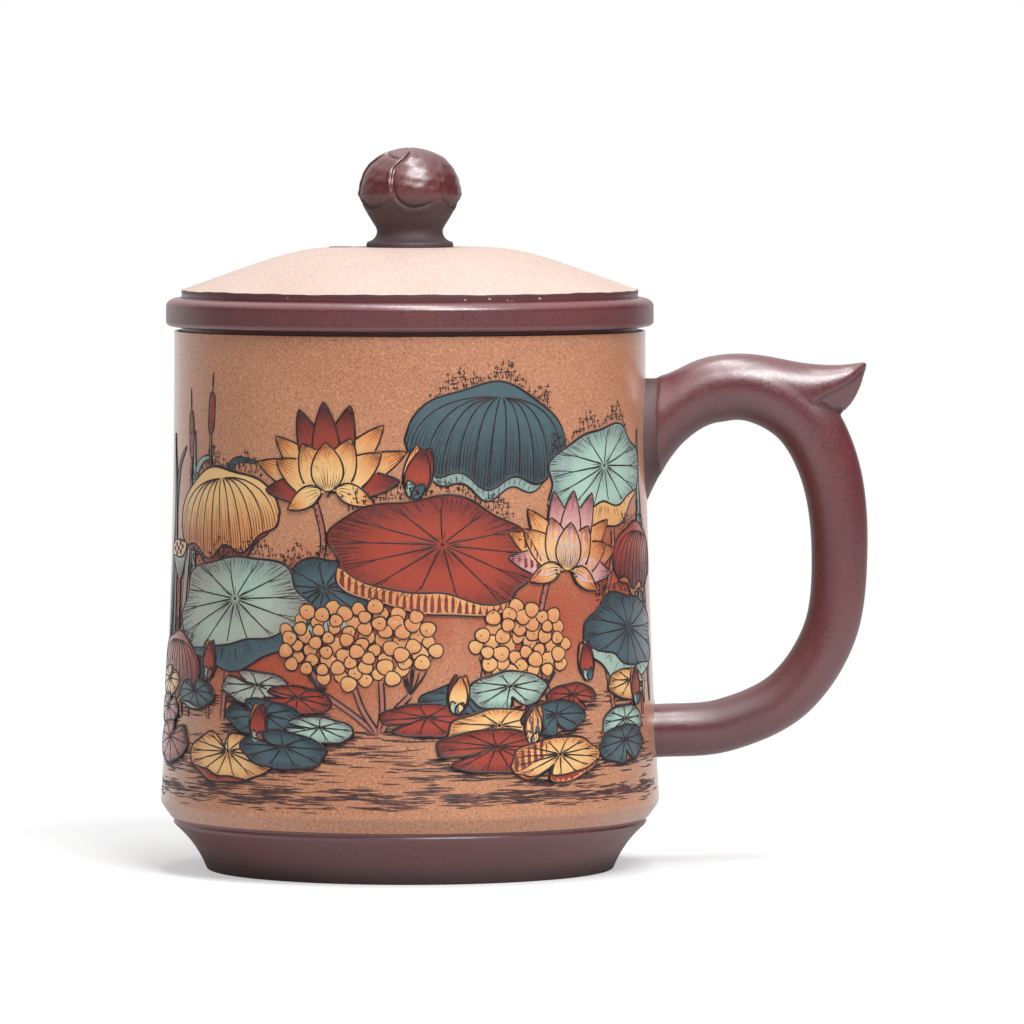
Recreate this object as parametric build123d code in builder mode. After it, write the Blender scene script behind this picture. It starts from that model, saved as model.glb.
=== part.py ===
"""Lidded clay tea mug with a lift-out infuser, in millimetres.

The mug stands on z = 0 with its axis on Z, and its handle points along +X. Three assemblies nest in one
another: the mug, the infuser that hangs on the mug's rim by a collar, and the lid that sits on that collar.
"""

import os

from build123d import *

# Mug body
foot_r = 35.8  # outer edge of the ring that the mug stands on
foot_h = 9.3
foot_cove_depth = 0.6  # how far the cove bows in from a straight flare
foot_band_h = 1.3  # near-upright band between the cove and the wall
foot_band_draft = 0.6
foot_step = 0.2  # the coated wall stands this far out over the foot
foot_edge_fillet = 0.4
foot_recess_r = 29.5
foot_recess_draft = 0.8
floor_t = 4.7
floor_drop = 2.0  # floor of the mug below the joint of foot and wall
floor_corner_r = 8.0
rim_r = 41.4  # outer radius of the body under its rim
belly_r = 43.9
bevel_h = 2.6
bevel_in = 1.8
belly_fillet = 1.6
body_top_z = 94.7
wall_t = 4.0  # clay wall with its coat
coat_t = 0.5  # coloured clay coat on the wall
coat_edge_fillet = 0.3
neck_h = 0.7  # bare clay that shows as a dark line over the coat
neck_step = 0.8
mouth_fillet = 0.5

# Infuser: a strainer that hangs in the mug by the collar that shows under the lid
collar_overhang = 1.45
collar_h = 4.7
collar_shoulder_in = 2.2  # the upper outer edge is a flat quarter oval
collar_shoulder_h = 1.0
collar_edge_fillet = 0.6
infuser_clearance = 0.8
infuser_wall_t = 2.4
infuser_depth = 63.0
infuser_corner_r = 6.0
infuser_floor_t = 2.4
hole_d = 2.2
floor_hole_pitch = 7.4
floor_hole_rings = 3  # rings round the centre hole
floor_hole_step = 6  # holes that each ring has more than the last
side_hole_count = 18
side_hole_rows = 2
side_hole_pitch = 6.5
side_hole_base = 6.5  # lowest row above the outside of the floor

# Lid
lid_inset = 2.75  # the lid's edge lies this far inside the collar's
lid_edge_h = 1.7
dome_h = 7.5  # apex of the coat over the lid's edge
dome_flat_r = 12.8  # level top round the knob
dome_mid_run = 0.52  # a point of the slope, as shares of its run and its fall
dome_mid_fall = 0.38
dome_edge_slope = 0.36
lid_t = 3.4
lid_coat_t = 0.4
lid_coat_fillet = 0.2
skirt_clearance = 0.5
skirt_t = 3.0
skirt_h = 6.8
skirt_fillet = 0.8
underside_margin = 0.5  # flat left inside the skirt before the lid hollows out
vent_d = 3.5
vent_r = 12.1

# Knob: a flower bud on a turned base. Heights are above the knob's seat on the lid.
knob_seat_r = 6.0  # spigot through the coat
knob_flange_r = 7.65
knob_flange_h = 1.0
knob_flange_draft = 0.35
knob_neck_r = 5.9
knob_neck_h = 2.8
knob_joint_r = 6.5
knob_joint_h = 4.4
bud_r = 8.85
bud_waist_h = 9.4
bud_h = 17.3
bud_flare_out = 0.51  # a point of the flare, as shares of its spread and its rise
bud_flare_up = 0.42
bud_roundness = 0.52  # pull of the oval top; 0.55 is a true quarter ellipse
petal_count = 6
petal_t = 0.4
petal_gap = 5.0  # degrees between neighbours
petal_w = 9.0
petal_length = 10.0
petal_mid_h = 12.5
petal_turn = 35.0  # degrees from +X to the first petal

# Handle: an oval arm that runs along a line in the plane y = 0, with a thumb spur on its crown
handle_low_z = 24.2  # middle of the lower root
handle_crown_drop = 10.0  # crown of the arm's middle line below the top of the body
handle_reach = 34.2  # how far the middle line stands out from the rim's radius
handle_line = (
    # share of the reach, share of the rise from the lower root to the crown
    (-0.14, 0.83),
    (0.07, 0.912),
    (0.315, 0.990),
    (0.56, 0.995),
    (0.80, 0.910),
    (0.955, 0.748),
    (1.0, 0.525),
    (0.952, 0.290),
    (0.74, 0.106),
    (0.41, 0.016),
    (0.09, 0.0),
    (-0.10, 0.0),
)
handle_stations = 25
grip_t = 9.4  # thickness of the grip in the plane of the handle
grip_w = 9.8  # width of the grip across that plane
crown_swell_t = 4.5  # gained from the grip up to the crown
crown_swell_w = 2.2
root_flare_t = 8.0  # gained again at the upper root
root_flare_w = 5.4
root_flare_run = 0.12  # share of the arm's length that flares
spur_sections = (
    # share of the reach; top, side edge and keel over the crown as shares of the crown's thickness;
    # width as a share of the crown's
    (0.36, 0.302, -0.043, -0.288, 0.73),
    (0.50, 0.396, -0.058, -0.345, 0.78),
    (0.64, 0.392, -0.094, -0.403, 0.80),
    (0.78, 0.335, -0.137, -0.475, 0.77),
    (0.91, 0.302, -0.065, -0.518, 0.71),
    (1.02, 0.295, 0.050, -0.324, 0.60),
    (1.095, 0.304, 0.158, -0.072, 0.38),
    (1.145, 0.313, 0.259, 0.173, 0.12),
)

# Sizes that follow from those above
rim_z = body_top_z + neck_h
belly_z = foot_h + bevel_h
body_base_r = belly_r - bevel_in
foot_top_r = body_base_r - foot_step
foot_band_r = foot_top_r - foot_band_draft
floor_z = foot_h - floor_drop
foot_recess_h = floor_z - floor_t
neck_r = rim_r - coat_t - neck_step
mug_inner_r = rim_r - wall_t
mug_inner_belly_r = belly_r - wall_t - coat_t
corner_centre_z = floor_z + floor_corner_r
corner_centre_r = mug_inner_belly_r - floor_corner_r
bore_r = min(mug_inner_r, mug_inner_belly_r)  # narrowest part of the bore, which the infuser passes
collar_r = rim_r + collar_overhang
collar_top_z = rim_z + collar_h
collar_flat_r = collar_r - collar_shoulder_in
collar_shoulder_z = collar_top_z - collar_shoulder_h
infuser_r = bore_r - infuser_clearance
infuser_inner_r = infuser_r - infuser_wall_t
infuser_bottom_z = rim_z - infuser_depth
infuser_corner_z = infuser_bottom_z + infuser_corner_r
infuser_floor_r = infuser_r - infuser_corner_r
infuser_floor_z = infuser_bottom_z + infuser_floor_t
lid_r = collar_r - lid_inset
dome_base_z = collar_top_z + lid_edge_h
dome_apex_z = dome_base_z + dome_h
skirt_r = infuser_inner_r - skirt_clearance
underside_r = skirt_r - skirt_t - underside_margin
underside_z = dome_apex_z - lid_t
knob_spigot_z = dome_apex_z - lid_coat_t
knob_flange_top_r = knob_flange_r - knob_flange_draft
knob_flange_z = dome_apex_z + knob_flange_h
knob_joint_z = dome_apex_z + knob_joint_h
bud_waist_z = dome_apex_z + bud_waist_h
bud_tip_z = dome_apex_z + bud_h
petal_span = 360 / petal_count - petal_gap
handle_crown_z = body_top_z - handle_crown_drop
handle_rise = handle_crown_z - handle_low_z
crown_t = grip_t + crown_swell_t
crown_w = grip_w + crown_swell_w


def body_blank(inset):
    """Solid of the body's flared outer form from the foot to the shoulder, moved in by inset."""
    top = (rim_r - inset, body_top_z)
    belly = (belly_r - inset, belly_z)
    with BuildPart() as blank:
        with BuildSketch(Plane.XZ) as section:
            with BuildLine():
                TangentArc(top, belly, tangent=(0, -1))
                Polyline(belly, (body_base_r - inset, foot_h), (0, foot_h), (0, body_top_z), top)
            make_face()
            fillet(nearest(section.vertices(), belly_r - inset, belly_z), belly_fillet)
        revolve(axis=Axis.Z)
    return blank.part


def dome_line(drop):
    """Upper line of the lid from the axis to its edge, moved down by drop."""
    shoulder = (dome_flat_r, dome_apex_z - drop)
    slope = (
        dome_flat_r + dome_mid_run * (lid_r - dome_flat_r),
        dome_apex_z - dome_mid_fall * dome_h - drop,
    )
    Line((0, dome_apex_z - drop), shoulder)
    Spline(shoulder, slope, (lid_r, dome_base_z - drop), tangents=((1, 0), (1, -dome_edge_slope)))


def bud_line(swell):
    """Outline of the bud from its joint to its tip, swollen by swell: a flare, then a quarter oval."""
    joint = (knob_joint_r + swell, knob_joint_z)
    waist = (bud_r + swell, bud_waist_z)
    tip = (0, bud_tip_z + swell)
    flare = (
        joint[0] + bud_flare_out * (waist[0] - joint[0]),
        joint[1] + bud_flare_up * (waist[1] - joint[1]),
    )
    Spline(joint, flare, waist, tangents=((0.5, 1), (0, 1)))
    above_waist = (waist[0], waist[1] + bud_roundness * (tip[1] - waist[1]))
    beside_tip = (bud_roundness * waist[0], tip[1])
    Bezier(waist, above_waist, beside_tip, tip)


def nearest(vertices, r, z):
    """The vertex nearest to radius r and height z, which are a section sketch's own x and y."""
    return vertices.sort_by_distance((r, z, 0))[0]


# ---------------------------------------------------------------------------------------------- the mug
coated_body = body_blank(0)
bare_body = body_blank(coat_t)

with BuildPart() as bore:
    with BuildSketch(Plane.XZ):
        with BuildLine():
            Polyline((0, rim_z), (mug_inner_r, rim_z), (mug_inner_belly_r, corner_centre_z))
            RadiusArc((mug_inner_belly_r, corner_centre_z), (corner_centre_r, floor_z), floor_corner_r)
            Polyline((corner_centre_r, floor_z), (0, floor_z), (0, rim_z))
        make_face()
    revolve(axis=Axis.Z)

with BuildPart() as base_foot:
    with BuildSketch(Plane.XZ) as foot_section:
        with BuildLine():
            Polyline(
                (0, foot_recess_h),
                (foot_recess_r - foot_recess_draft, foot_recess_h),
                (foot_recess_r, 0),
                (foot_r, 0),
            )
            SagittaArc((foot_r, 0), (foot_band_r, foot_h - foot_band_h), foot_cove_depth)
            Polyline((foot_band_r, foot_h - foot_band_h), (foot_top_r, foot_h), (0, foot_h))
            Line((0, foot_h), (0, foot_recess_h))
        make_face()
        fillet(nearest(foot_section.vertices(), foot_r, 0), foot_edge_fillet)
    revolve(axis=Axis.Z)
    add(bore.part, mode=Mode.SUBTRACT)

with BuildPart() as mug_wall:
    add(bare_body)
    with BuildSketch(Plane.XY.offset(body_top_z)):
        Circle(neck_r)
    extrude(amount=neck_h)
    add(bore.part, mode=Mode.SUBTRACT)
    mouth = mug_wall.edges().group_by(Axis.Z)[-1].sort_by(SortBy.RADIUS)[0]
    fillet(mouth, mouth_fillet)

with BuildPart() as body_coat:
    add(coated_body)
    add(bare_body, mode=Mode.SUBTRACT)
    shoulder = body_coat.edges().group_by(Axis.Z)[-1].sort_by(SortBy.RADIUS)[-1]
    fillet(shoulder, coat_edge_fillet)

with BuildLine(Plane.XZ) as arm_line:
    Spline(*[(rim_r + out * handle_reach, handle_low_z + up * handle_rise) for out, up in handle_line])

with BuildPart() as handle_arm:
    for station in range(handle_stations):
        share = station / (handle_stations - 1)
        swell = (1 - share) ** 3
        flare = max(0, 1 - share / root_flare_run) ** 2
        thick = grip_t + crown_swell_t * swell + root_flare_t * flare
        wide = grip_w + crown_swell_w * swell + root_flare_w * flare
        with BuildSketch(Plane(origin=arm_line.line @ share, x_dir=(0, 1, 0), z_dir=arm_line.line % share)):
            Ellipse(wide / 2, thick / 2)
    loft()

# Each section of the spur is a lens: a high arch over a shallower keel, which meet in a sharp side edge.
with BuildPart() as thumb_spur:
    for out, top, edge, keel, width in spur_sections:
        origin = (rim_r + out * handle_reach, 0, handle_crown_z + edge * crown_t)
        half_w = width * crown_w / 2
        with BuildSketch(Plane(origin=origin, x_dir=(0, 1, 0), z_dir=(1, 0, 0))):
            with BuildLine():
                EllipticalCenterArc((0, 0), half_w, (top - edge) * crown_t, start_angle=0, arc_size=180)
                EllipticalCenterArc((0, 0), half_w, (edge - keel) * crown_t, start_angle=180, arc_size=180)
            make_face()
    loft()

with BuildPart() as handle:
    add(handle_arm.part)
    add(thumb_spur.part)
    add(coated_body, mode=Mode.SUBTRACT)

# ------------------------------------------------------------------------------------------ the infuser
with BuildPart() as infuser_collar:
    with BuildSketch(Plane.XZ) as collar_section:
        with BuildLine():
            Polyline((infuser_inner_r, rim_z), (collar_r, rim_z), (collar_r, collar_shoulder_z))
            EllipticalCenterArc(
                (collar_flat_r, collar_shoulder_z),
                collar_shoulder_in,
                collar_shoulder_h,
                start_angle=0,
                arc_size=90,
            )
            Polyline((collar_flat_r, collar_top_z), (infuser_inner_r, collar_top_z), (infuser_inner_r, rim_z))
        make_face()
        fillet(nearest(collar_section.vertices(), collar_r, rim_z), collar_edge_fillet)
        fillet(nearest(collar_section.vertices(), infuser_inner_r, collar_top_z), collar_edge_fillet)
    revolve(axis=Axis.Z)

with BuildPart() as infuser_wall:
    with BuildSketch(Plane.XZ):
        with BuildLine():
            Polyline((infuser_inner_r, rim_z), (infuser_r, rim_z), (infuser_r, infuser_corner_z))
            RadiusArc((infuser_r, infuser_corner_z), (infuser_floor_r, infuser_bottom_z), infuser_corner_r)
            Line((infuser_floor_r, infuser_bottom_z), (infuser_floor_r, infuser_floor_z))
            RadiusArc(
                (infuser_floor_r, infuser_floor_z),
                (infuser_inner_r, infuser_corner_z),
                infuser_wall_t - infuser_corner_r,
            )
            Line((infuser_inner_r, infuser_corner_z), (infuser_inner_r, rim_z))
        make_face()
    revolve(axis=Axis.Z)
    # Rows of strainer holes run through the lower wall, each row turned half a step from the last.
    for row in range(side_hole_rows):
        height = infuser_bottom_z + side_hole_base + row * side_hole_pitch
        turn = row * 180 / side_hole_count
        with Locations((0, 0, height)):
            with PolarLocations(infuser_r, side_hole_count, start_angle=turn):
                Cylinder(hole_d / 2, 3 * infuser_wall_t, rotation=(0, 90, 0), mode=Mode.SUBTRACT)

with BuildPart() as infuser_floor:
    with BuildSketch(Plane.XY.offset(infuser_bottom_z)):
        Circle(infuser_floor_r)
    extrude(amount=infuser_floor_t)
    with Locations((0, 0, infuser_floor_z)):
        Hole(hole_d / 2)
        for ring in range(1, floor_hole_rings + 1):
            with PolarLocations(ring * floor_hole_pitch, ring * floor_hole_step):
                Hole(hole_d / 2)

# ---------------------------------------------------------------------------------------------- the lid
with BuildPart() as lid_shell:
    with BuildSketch(Plane.XZ):
        with BuildLine():
            Line((lid_r, collar_top_z), (lid_r, dome_base_z - lid_coat_t))
            dome_line(lid_coat_t)
            Line((0, knob_spigot_z), (0, underside_z))
            ThreePointArc(
                (0, underside_z),
                (underside_r / 2, underside_z - (underside_z - collar_top_z) / 4),
                (underside_r, collar_top_z),
            )
            Line((underside_r, collar_top_z), (lid_r, collar_top_z))
        make_face()
    revolve(axis=Axis.Z)
    with Locations((-vent_r, 0, dome_apex_z)):
        Hole(vent_d / 2)

with BuildPart() as lid_coat:
    with BuildSketch(Plane.XZ) as lid_coat_section:
        with BuildLine():
            dome_line(0)
            dome_line(lid_coat_t)
            Line((lid_r, dome_base_z), (lid_r, dome_base_z - lid_coat_t))
            Line((0, dome_apex_z), (0, knob_spigot_z))
        make_face()
        fillet(nearest(lid_coat_section.vertices(), lid_r, dome_base_z), lid_coat_fillet)
    revolve(axis=Axis.Z)
    with Locations((-vent_r, 0, dome_apex_z)):
        Hole(vent_d / 2)
    with Locations((0, 0, dome_apex_z)):
        Hole(knob_seat_r)

with BuildPart() as lid_skirt:
    with BuildSketch(Plane.XY.offset(collar_top_z)):
        Circle(skirt_r)
        Circle(skirt_r - skirt_t, mode=Mode.SUBTRACT)
    extrude(amount=-skirt_h)
    fillet(lid_skirt.edges().group_by(Axis.Z)[0], skirt_fillet)

# --------------------------------------------------------------------------------------------- the knob
with BuildPart() as knob_base:
    with BuildSketch(Plane.XZ):
        with BuildLine():
            Polyline(
                (0, knob_spigot_z),
                (knob_seat_r, knob_spigot_z),
                (knob_seat_r, dome_apex_z),
                (knob_flange_r, dome_apex_z),
                (knob_flange_top_r, knob_flange_z),
            )
            Spline(
                (knob_flange_top_r, knob_flange_z),
                (knob_neck_r, dome_apex_z + knob_neck_h),
                (knob_joint_r, knob_joint_z),
                tangents=((-1, 0.25), (0.5, 1)),
            )
            Polyline((knob_joint_r, knob_joint_z), (0, knob_joint_z), (0, knob_spigot_z))
        make_face()
    revolve(axis=Axis.Z)

with BuildPart() as knob_bud:
    with BuildSketch(Plane.XZ):
        with BuildLine():
            bud_line(0)
            Polyline((0, bud_tip_z), (0, knob_joint_z), (knob_joint_r, knob_joint_z))
        make_face()
    revolve(axis=Axis.Z)

# Petals are plates of a skin on the bud, rounded below and parted by grooves that run up to its tip.
with BuildPart() as petal:
    with BuildSketch(Plane.XZ):
        with BuildLine():
            bud_line(petal_t)
            bud_line(0)
            Line((knob_joint_r, knob_joint_z), (knob_joint_r + petal_t, knob_joint_z))
            Line((0, bud_tip_z), (0, bud_tip_z + petal_t))
        make_face()
    revolve(axis=Axis.Z, revolution_arc=petal_span)
    outward = Vector(1, 0, 0).rotate(Axis.Z, petal_span / 2)
    with BuildSketch(Plane(origin=(0, 0, dome_apex_z + petal_mid_h), x_dir=(0, 0, 1), z_dir=outward)):
        Ellipse(petal_length / 2, petal_w / 2)
    extrude(amount=2 * bud_r, mode=Mode.INTERSECT)

with BuildPart() as knob_petals:
    with PolarLocations(0, petal_count, start_angle=petal_turn - petal_span / 2):
        add(petal.part)

pieces = {
    "base_foot": base_foot,
    "mug_wall": mug_wall,
    "body_coat": body_coat,
    "handle": handle,
    "infuser_collar": infuser_collar,
    "infuser_wall": infuser_wall,
    "infuser_floor": infuser_floor,
    "lid_shell": lid_shell,
    "lid_coat": lid_coat,
    "lid_skirt": lid_skirt,
    "knob_base": knob_base,
    "knob_bud": knob_bud,
    "knob_petals": knob_petals,
}

os.makedirs("parts", exist_ok=True)
for name, piece in pieces.items():
    piece.part.label = name
    export_step(piece.part, f"parts/{name}.step")
    print(name, len(piece.part.solids()), round(piece.part.volume), piece.part.bounding_box().size)
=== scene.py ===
"""Looks of the lidded tea mug: fine clay meshes over the CAD pieces, a slip painting, light and camera."""

import math
from collections import defaultdict

import bmesh
import bpy
import numpy as np
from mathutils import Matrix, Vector
from mathutils.geometry import delaunay_2d_cdt


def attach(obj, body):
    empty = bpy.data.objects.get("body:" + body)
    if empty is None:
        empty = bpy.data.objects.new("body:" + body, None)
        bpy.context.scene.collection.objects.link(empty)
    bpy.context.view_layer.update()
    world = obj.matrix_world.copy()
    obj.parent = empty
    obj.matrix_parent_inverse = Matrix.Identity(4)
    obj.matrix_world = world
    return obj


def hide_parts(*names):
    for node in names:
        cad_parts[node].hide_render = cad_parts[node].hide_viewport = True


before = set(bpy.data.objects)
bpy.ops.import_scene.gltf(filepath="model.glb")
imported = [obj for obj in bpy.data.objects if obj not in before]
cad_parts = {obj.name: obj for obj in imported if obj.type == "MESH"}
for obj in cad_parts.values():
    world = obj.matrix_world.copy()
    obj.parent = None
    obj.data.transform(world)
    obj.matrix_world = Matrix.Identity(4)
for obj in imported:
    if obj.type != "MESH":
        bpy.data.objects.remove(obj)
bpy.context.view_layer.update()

MM = 0.001
scene = bpy.context.scene

# Sizes shared with the CAD source, in millimetres
RIM_R, BODY_TOP_Z = 41.4, 94.7
BELLY_R, BELLY_Z = 43.9, 11.9
BODY_BASE_R, FOOT_H = 42.1, 9.3
SIDE_ARC_R = ((BODY_TOP_Z - BELLY_Z) ** 2 + (BELLY_R - RIM_R) ** 2) / (2 * (BELLY_R - RIM_R))
COAT_T = 0.5
RIM_Z, NECK_R = 95.4, 40.1
BORE_R, BORE_BELLY_R, CORNER_Z, CORNER_R, FLOOR_Z = 37.4, 39.4, 15.3, 8.0, 7.3
COLLAR_R, COLLAR_TOP_Z, CUP_INNER_R = 42.85, 100.1, 34.2
LID_R, DOME_BASE_Z, DOME_APEX_Z, LID_COAT_T = 40.1, 101.8, 109.3, 0.4
PETAL_TURN = math.radians(35.0)

ROUND = 288  # steps round a turned piece


# ------------------------------------------------------------ mesh helpers
def new_object(name, mesh, smooth_angle=None):
    """An object of a smooth-shaded mesh, with its edges sharp over an angle in degrees where one is given."""
    mesh.polygons.foreach_set("use_smooth", [True] * len(mesh.polygons))
    if smooth_angle is not None:
        mesh.set_sharp_from_angle(angle=math.radians(smooth_angle))
    obj = bpy.data.objects.new(name, mesh)
    scene.collection.objects.link(obj)
    return obj


def dress(obj, material, body, slot, replaces):
    """Gives a piece its material and its body, and hides the CAD nodes that it stands for; its slot is not
    used.
    """
    obj.data.materials.clear()
    obj.data.materials.append(material)
    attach(obj, body)
    if replaces:
        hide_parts(*replaces)
    return obj


def mesh_of(name, verts, faces):
    """A mesh from vertices in millimetres."""
    mesh = bpy.data.meshes.new(name)
    mesh.from_pydata((np.asarray(verts, float) * MM).tolist(), [], [list(map(int, f)) for f in faces])
    mesh.validate()
    return mesh


def make_object(name, verts, faces, material, body, slot, replaces=(), smooth_angle=None):
    """A dressed piece from vertices in millimetres."""
    return dress(new_object(name, mesh_of(name, verts, faces), smooth_angle), material, body, slot, replaces)


def weld(mesh, distance, slivers=False):
    """Joins points that meet, drops slivers where asked, and turns the faces outwards."""
    bm = bmesh.new()
    bm.from_mesh(mesh)
    bmesh.ops.remove_doubles(bm, verts=bm.verts, dist=distance)
    if slivers:
        bmesh.ops.dissolve_degenerate(bm, edges=bm.edges, dist=1e-8)
    bmesh.ops.recalc_face_normals(bm, faces=bm.faces)
    bm.to_mesh(mesh)
    bm.free()


def places(obj):
    """The places of an object's vertices in millimetres."""
    return np.array([v.co[:] for v in obj.data.vertices]) / MM


def set_shares(obj, name, values):
    """Keeps a number for each vertex, which a material reads by name."""
    layer = obj.data.attributes.new(name, "FLOAT", "POINT")
    layer.data.foreach_set("value", np.asarray(values, np.float32))


def paint_shade(obj, share):
    """Painted shade, as a share from 0 to 1 given by a function of the places (x, y, z) in millimetres; the
    clay's material turns it into a darker colour.
    """
    set_shares(obj, "painted_shade", np.clip(share(places(obj)), 0, 1))


def apply_modifiers(obj):
    """Turns the object's modifiers into its mesh."""
    dg = bpy.context.evaluated_depsgraph_get()
    done = bpy.data.meshes.new_from_object(obj.evaluated_get(dg))
    old = obj.data
    obj.modifiers.clear()
    obj.data = done
    bpy.data.meshes.remove(old)


class Heap:
    """Meshes gathered into one, with the wash at each vertex."""

    def __init__(self):
        self.verts, self.faces, self.wash, self.total = [], [], [], 0

    def add(self, verts, faces, wash=None):
        self.verts.append(verts)
        self.faces += [tuple(i + self.total for i in face) for face in faces]
        self.wash.append(np.zeros(len(verts)) if wash is None else wash)
        self.total += len(verts)

    def mesh(self):
        return np.vstack(self.verts), self.faces


def smoothstep(x, a, b):
    """0 at a, 1 at b and eased between; a may be the larger."""
    t = np.clip((np.asarray(x, float) - a) / (b - a), 0, 1)
    return t * t * (3 - 2 * t)


def angles_round(count):
    """Even angles round a full turn."""
    return np.linspace(0, 2 * math.pi, count, endpoint=False)


def across(line, closed=False):
    """Unit vectors to the left of a line at its points."""
    slope = np.roll(line, -1, 0) - np.roll(line, 1, 0) if closed else np.gradient(line, axis=0)
    slope /= np.maximum(np.linalg.norm(slope, axis=1), 1e-9)[:, None]
    return np.stack([-slope[:, 1], slope[:, 0]], 1)


def bands(rings, count, wrap=False):
    """Quads between neighbouring rings of count points each; wrap also joins the last ring to the first."""
    pairs = [(k * count, (k + 1) % rings * count) for k in range(rings if wrap else rings - 1)]
    return [(a + i, b + i, b + (i + 1) % count, a + (i + 1) % count) for a, b in pairs for i in range(count)]


def tube(rings):
    """Closed vertices and faces through rings of equal count, with a cap at each end."""
    count, around = len(rings), len(rings[0])
    caps = [tuple(range(around)), tuple((count - 1) * around + k for k in reversed(range(around)))]
    return np.concatenate(rings), bands(count, around) + caps


def turned(outline, steps=ROUND, shift=None):
    """Vertices and faces of an outline (r, z) turned about Z; shift(angle, outline) moves it at each angle."""
    outline = np.asarray(outline, float)
    rings = []
    for k in range(steps):
        a = 2 * math.pi * k / steps
        line = outline if shift is None else shift(a, outline)
        rings.append(np.stack([line[:, 0] * math.cos(a), line[:, 0] * math.sin(a), line[:, 1]], 1))
    return np.concatenate(rings), bands(steps, len(outline), wrap=True)


def lathe(name, outline, material, body, slot, replaces=(), **turning):
    """A piece turned from a closed outline whose points at r = 0 are welded on the axis."""
    obj = make_object(name, *turned(outline, **turning), material, body, slot, replaces)
    weld(obj.data, 1e-7, slivers=True)
    return obj


def ellipse_arc(centre, half, start, stop, steps=10):
    """Outline corners without radii on an ellipse, between two angles in degrees."""
    angles = [math.radians(start + (stop - start) * k / steps) for k in range(steps + 1)]
    return [(centre[0] + half[0] * math.cos(w), centre[1] + half[1] * math.sin(w), 0) for w in angles]


def bow(a, b, depth, steps):
    """Points between a and b on an arc that bows to the left of a to b by depth."""
    a, b = np.array(a, float), np.array(b, float)
    t = np.linspace(0, 1, steps + 1)[1:-1, None]
    side = np.array([-(b - a)[1], (b - a)[0]]) / np.linalg.norm(b - a)
    return [(*p, 0.0) for p in a + (b - a) * t + side * depth * 4 * t * (1 - t)]


def rounded(corners, fine=0.12, coarse=1.6):
    """Closed outline through corners (r, z, radius): arcs at them, and a short step at each span's end."""
    pts = np.array([c[:2] for c in corners], float)
    n = len(pts)
    legs = []
    for i, (_, _, radius) in enumerate(corners):
        p, a, b = pts[i], pts[i - 1] - pts[i], pts[(i + 1) % n] - pts[i]
        la, lb = np.linalg.norm(a), np.linalg.norm(b)
        a, b = a / la, b / lb
        turn = math.pi - math.acos(np.clip(a @ b, -1, 1))
        if radius <= 0 or turn < 1e-3:
            legs.append([p])
            continue
        cut = min(radius * math.tan(turn / 2), 0.49 * la, 0.49 * lb)
        radius = cut / math.tan(turn / 2)
        centre = p + (a + b) / np.linalg.norm(a + b) * math.hypot(cut, radius)
        start = p + a * cut - centre
        side = 1.0 if a[0] * b[1] - a[1] * b[0] < 0 else -1.0
        steps = max(4, int(math.ceil(turn / math.radians(9))))
        arc = []
        for k in range(steps + 1):
            w = side * turn * k / steps
            c, s = math.cos(w), math.sin(w)
            arc.append(centre + np.array([start[0] * c - start[1] * s, start[0] * s + start[1] * c]))
        legs.append(arc)
    line = []
    for i, leg in enumerate(legs):
        line.extend(leg)
        a, b = leg[-1], legs[(i + 1) % n][0]
        length = np.linalg.norm(b - a)
        if length > 3 * fine:
            cuts = [fine / length, 1 - fine / length]
            inner = int(length // coarse)
            cuts += [k / (inner + 1) for k in range(1, inner + 1)]
            line.extend(a + (b - a) * t for t in sorted(cuts))
    return np.array(line)


def body_r(z):
    """Outer radius of the coated body at a height above its belly."""
    return RIM_R + (BODY_TOP_Z - z) ** 2 / (2 * SIDE_ARC_R)


# ------------------------------------------------------------ materials
def add(tree, kind, **settings):
    """A node with its properties, and its inputs by name or number: sockets are linked, values are set."""
    node = tree.nodes.new("ShaderNode" + kind)
    inputs = settings.pop("inputs", {})
    for key, value in settings.items():
        setattr(node, key, value)
    for key, value in inputs.items():
        if isinstance(value, bpy.types.NodeSocket):
            tree.links.new(value, node.inputs[key])
        else:
            node.inputs[key].default_value = value
    return node


def new_material(name):
    """A material with an empty tree, that tree, and the place on the piece, which its textures hang on."""
    material = bpy.data.materials.new(name)
    material.use_nodes = True
    material.node_tree.nodes.clear()
    return material, material.node_tree, add(material.node_tree, "TexCoord").outputs["Object"]


def rgb(r, g, b):
    """A colour given as sRGB 0 to 255, as the linear RGBA that shaders take."""
    lin = [c / 12.92 if c <= 0.04045 else ((c + 0.055) / 1.055) ** 2.4 for c in (r / 255, g / 255, b / 255)]
    return (*lin, 1.0)


def lighter(colour, shares, lift):
    """A colour with its parts times their shares and lifted a little, at full opacity."""
    return tuple(min(1, c * share + lift) for c, share in zip(colour, shares)) + (1.0,)


def noise(tree, vector, scale, detail, rough=0.55, distortion=0.0):
    node = add(tree, "TexNoise", inputs={"Vector": vector, "Scale": scale, "Detail": detail,
                                         "Roughness": rough, "Distortion": distortion})
    return node.outputs["Fac"]


def remap(tree, value, low, high, to_low=0.0, to_high=1.0, smooth=True):
    """A value from one range brought into another and held there, eased at its ends where it is smooth."""
    node = add(tree, "MapRange", interpolation_type="SMOOTHSTEP" if smooth else "LINEAR",
               inputs={"Value": value, "From Min": low, "From Max": high, "To Min": to_low, "To Max": to_high})
    return node.outputs["Result"]


def mix(tree, factor, a, b):
    """Colour between a and b: a mix of colours has them in its sockets 6 and 7, and its result in 2."""
    return add(tree, "Mix", data_type="RGBA", inputs={0: factor, 6: a, 7: b}).outputs[2]


def maths(tree, op, a, b):
    return add(tree, "Math", operation=op, inputs={0: a, 1: b}).outputs[0]


def vectors(tree, op, a, b):
    return add(tree, "VectorMath", operation=op, inputs={0: a, 1: b}).outputs[0]


def length_of(tree, vector):
    return add(tree, "VectorMath", operation="LENGTH", inputs={0: vector}).outputs["Value"]


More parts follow.
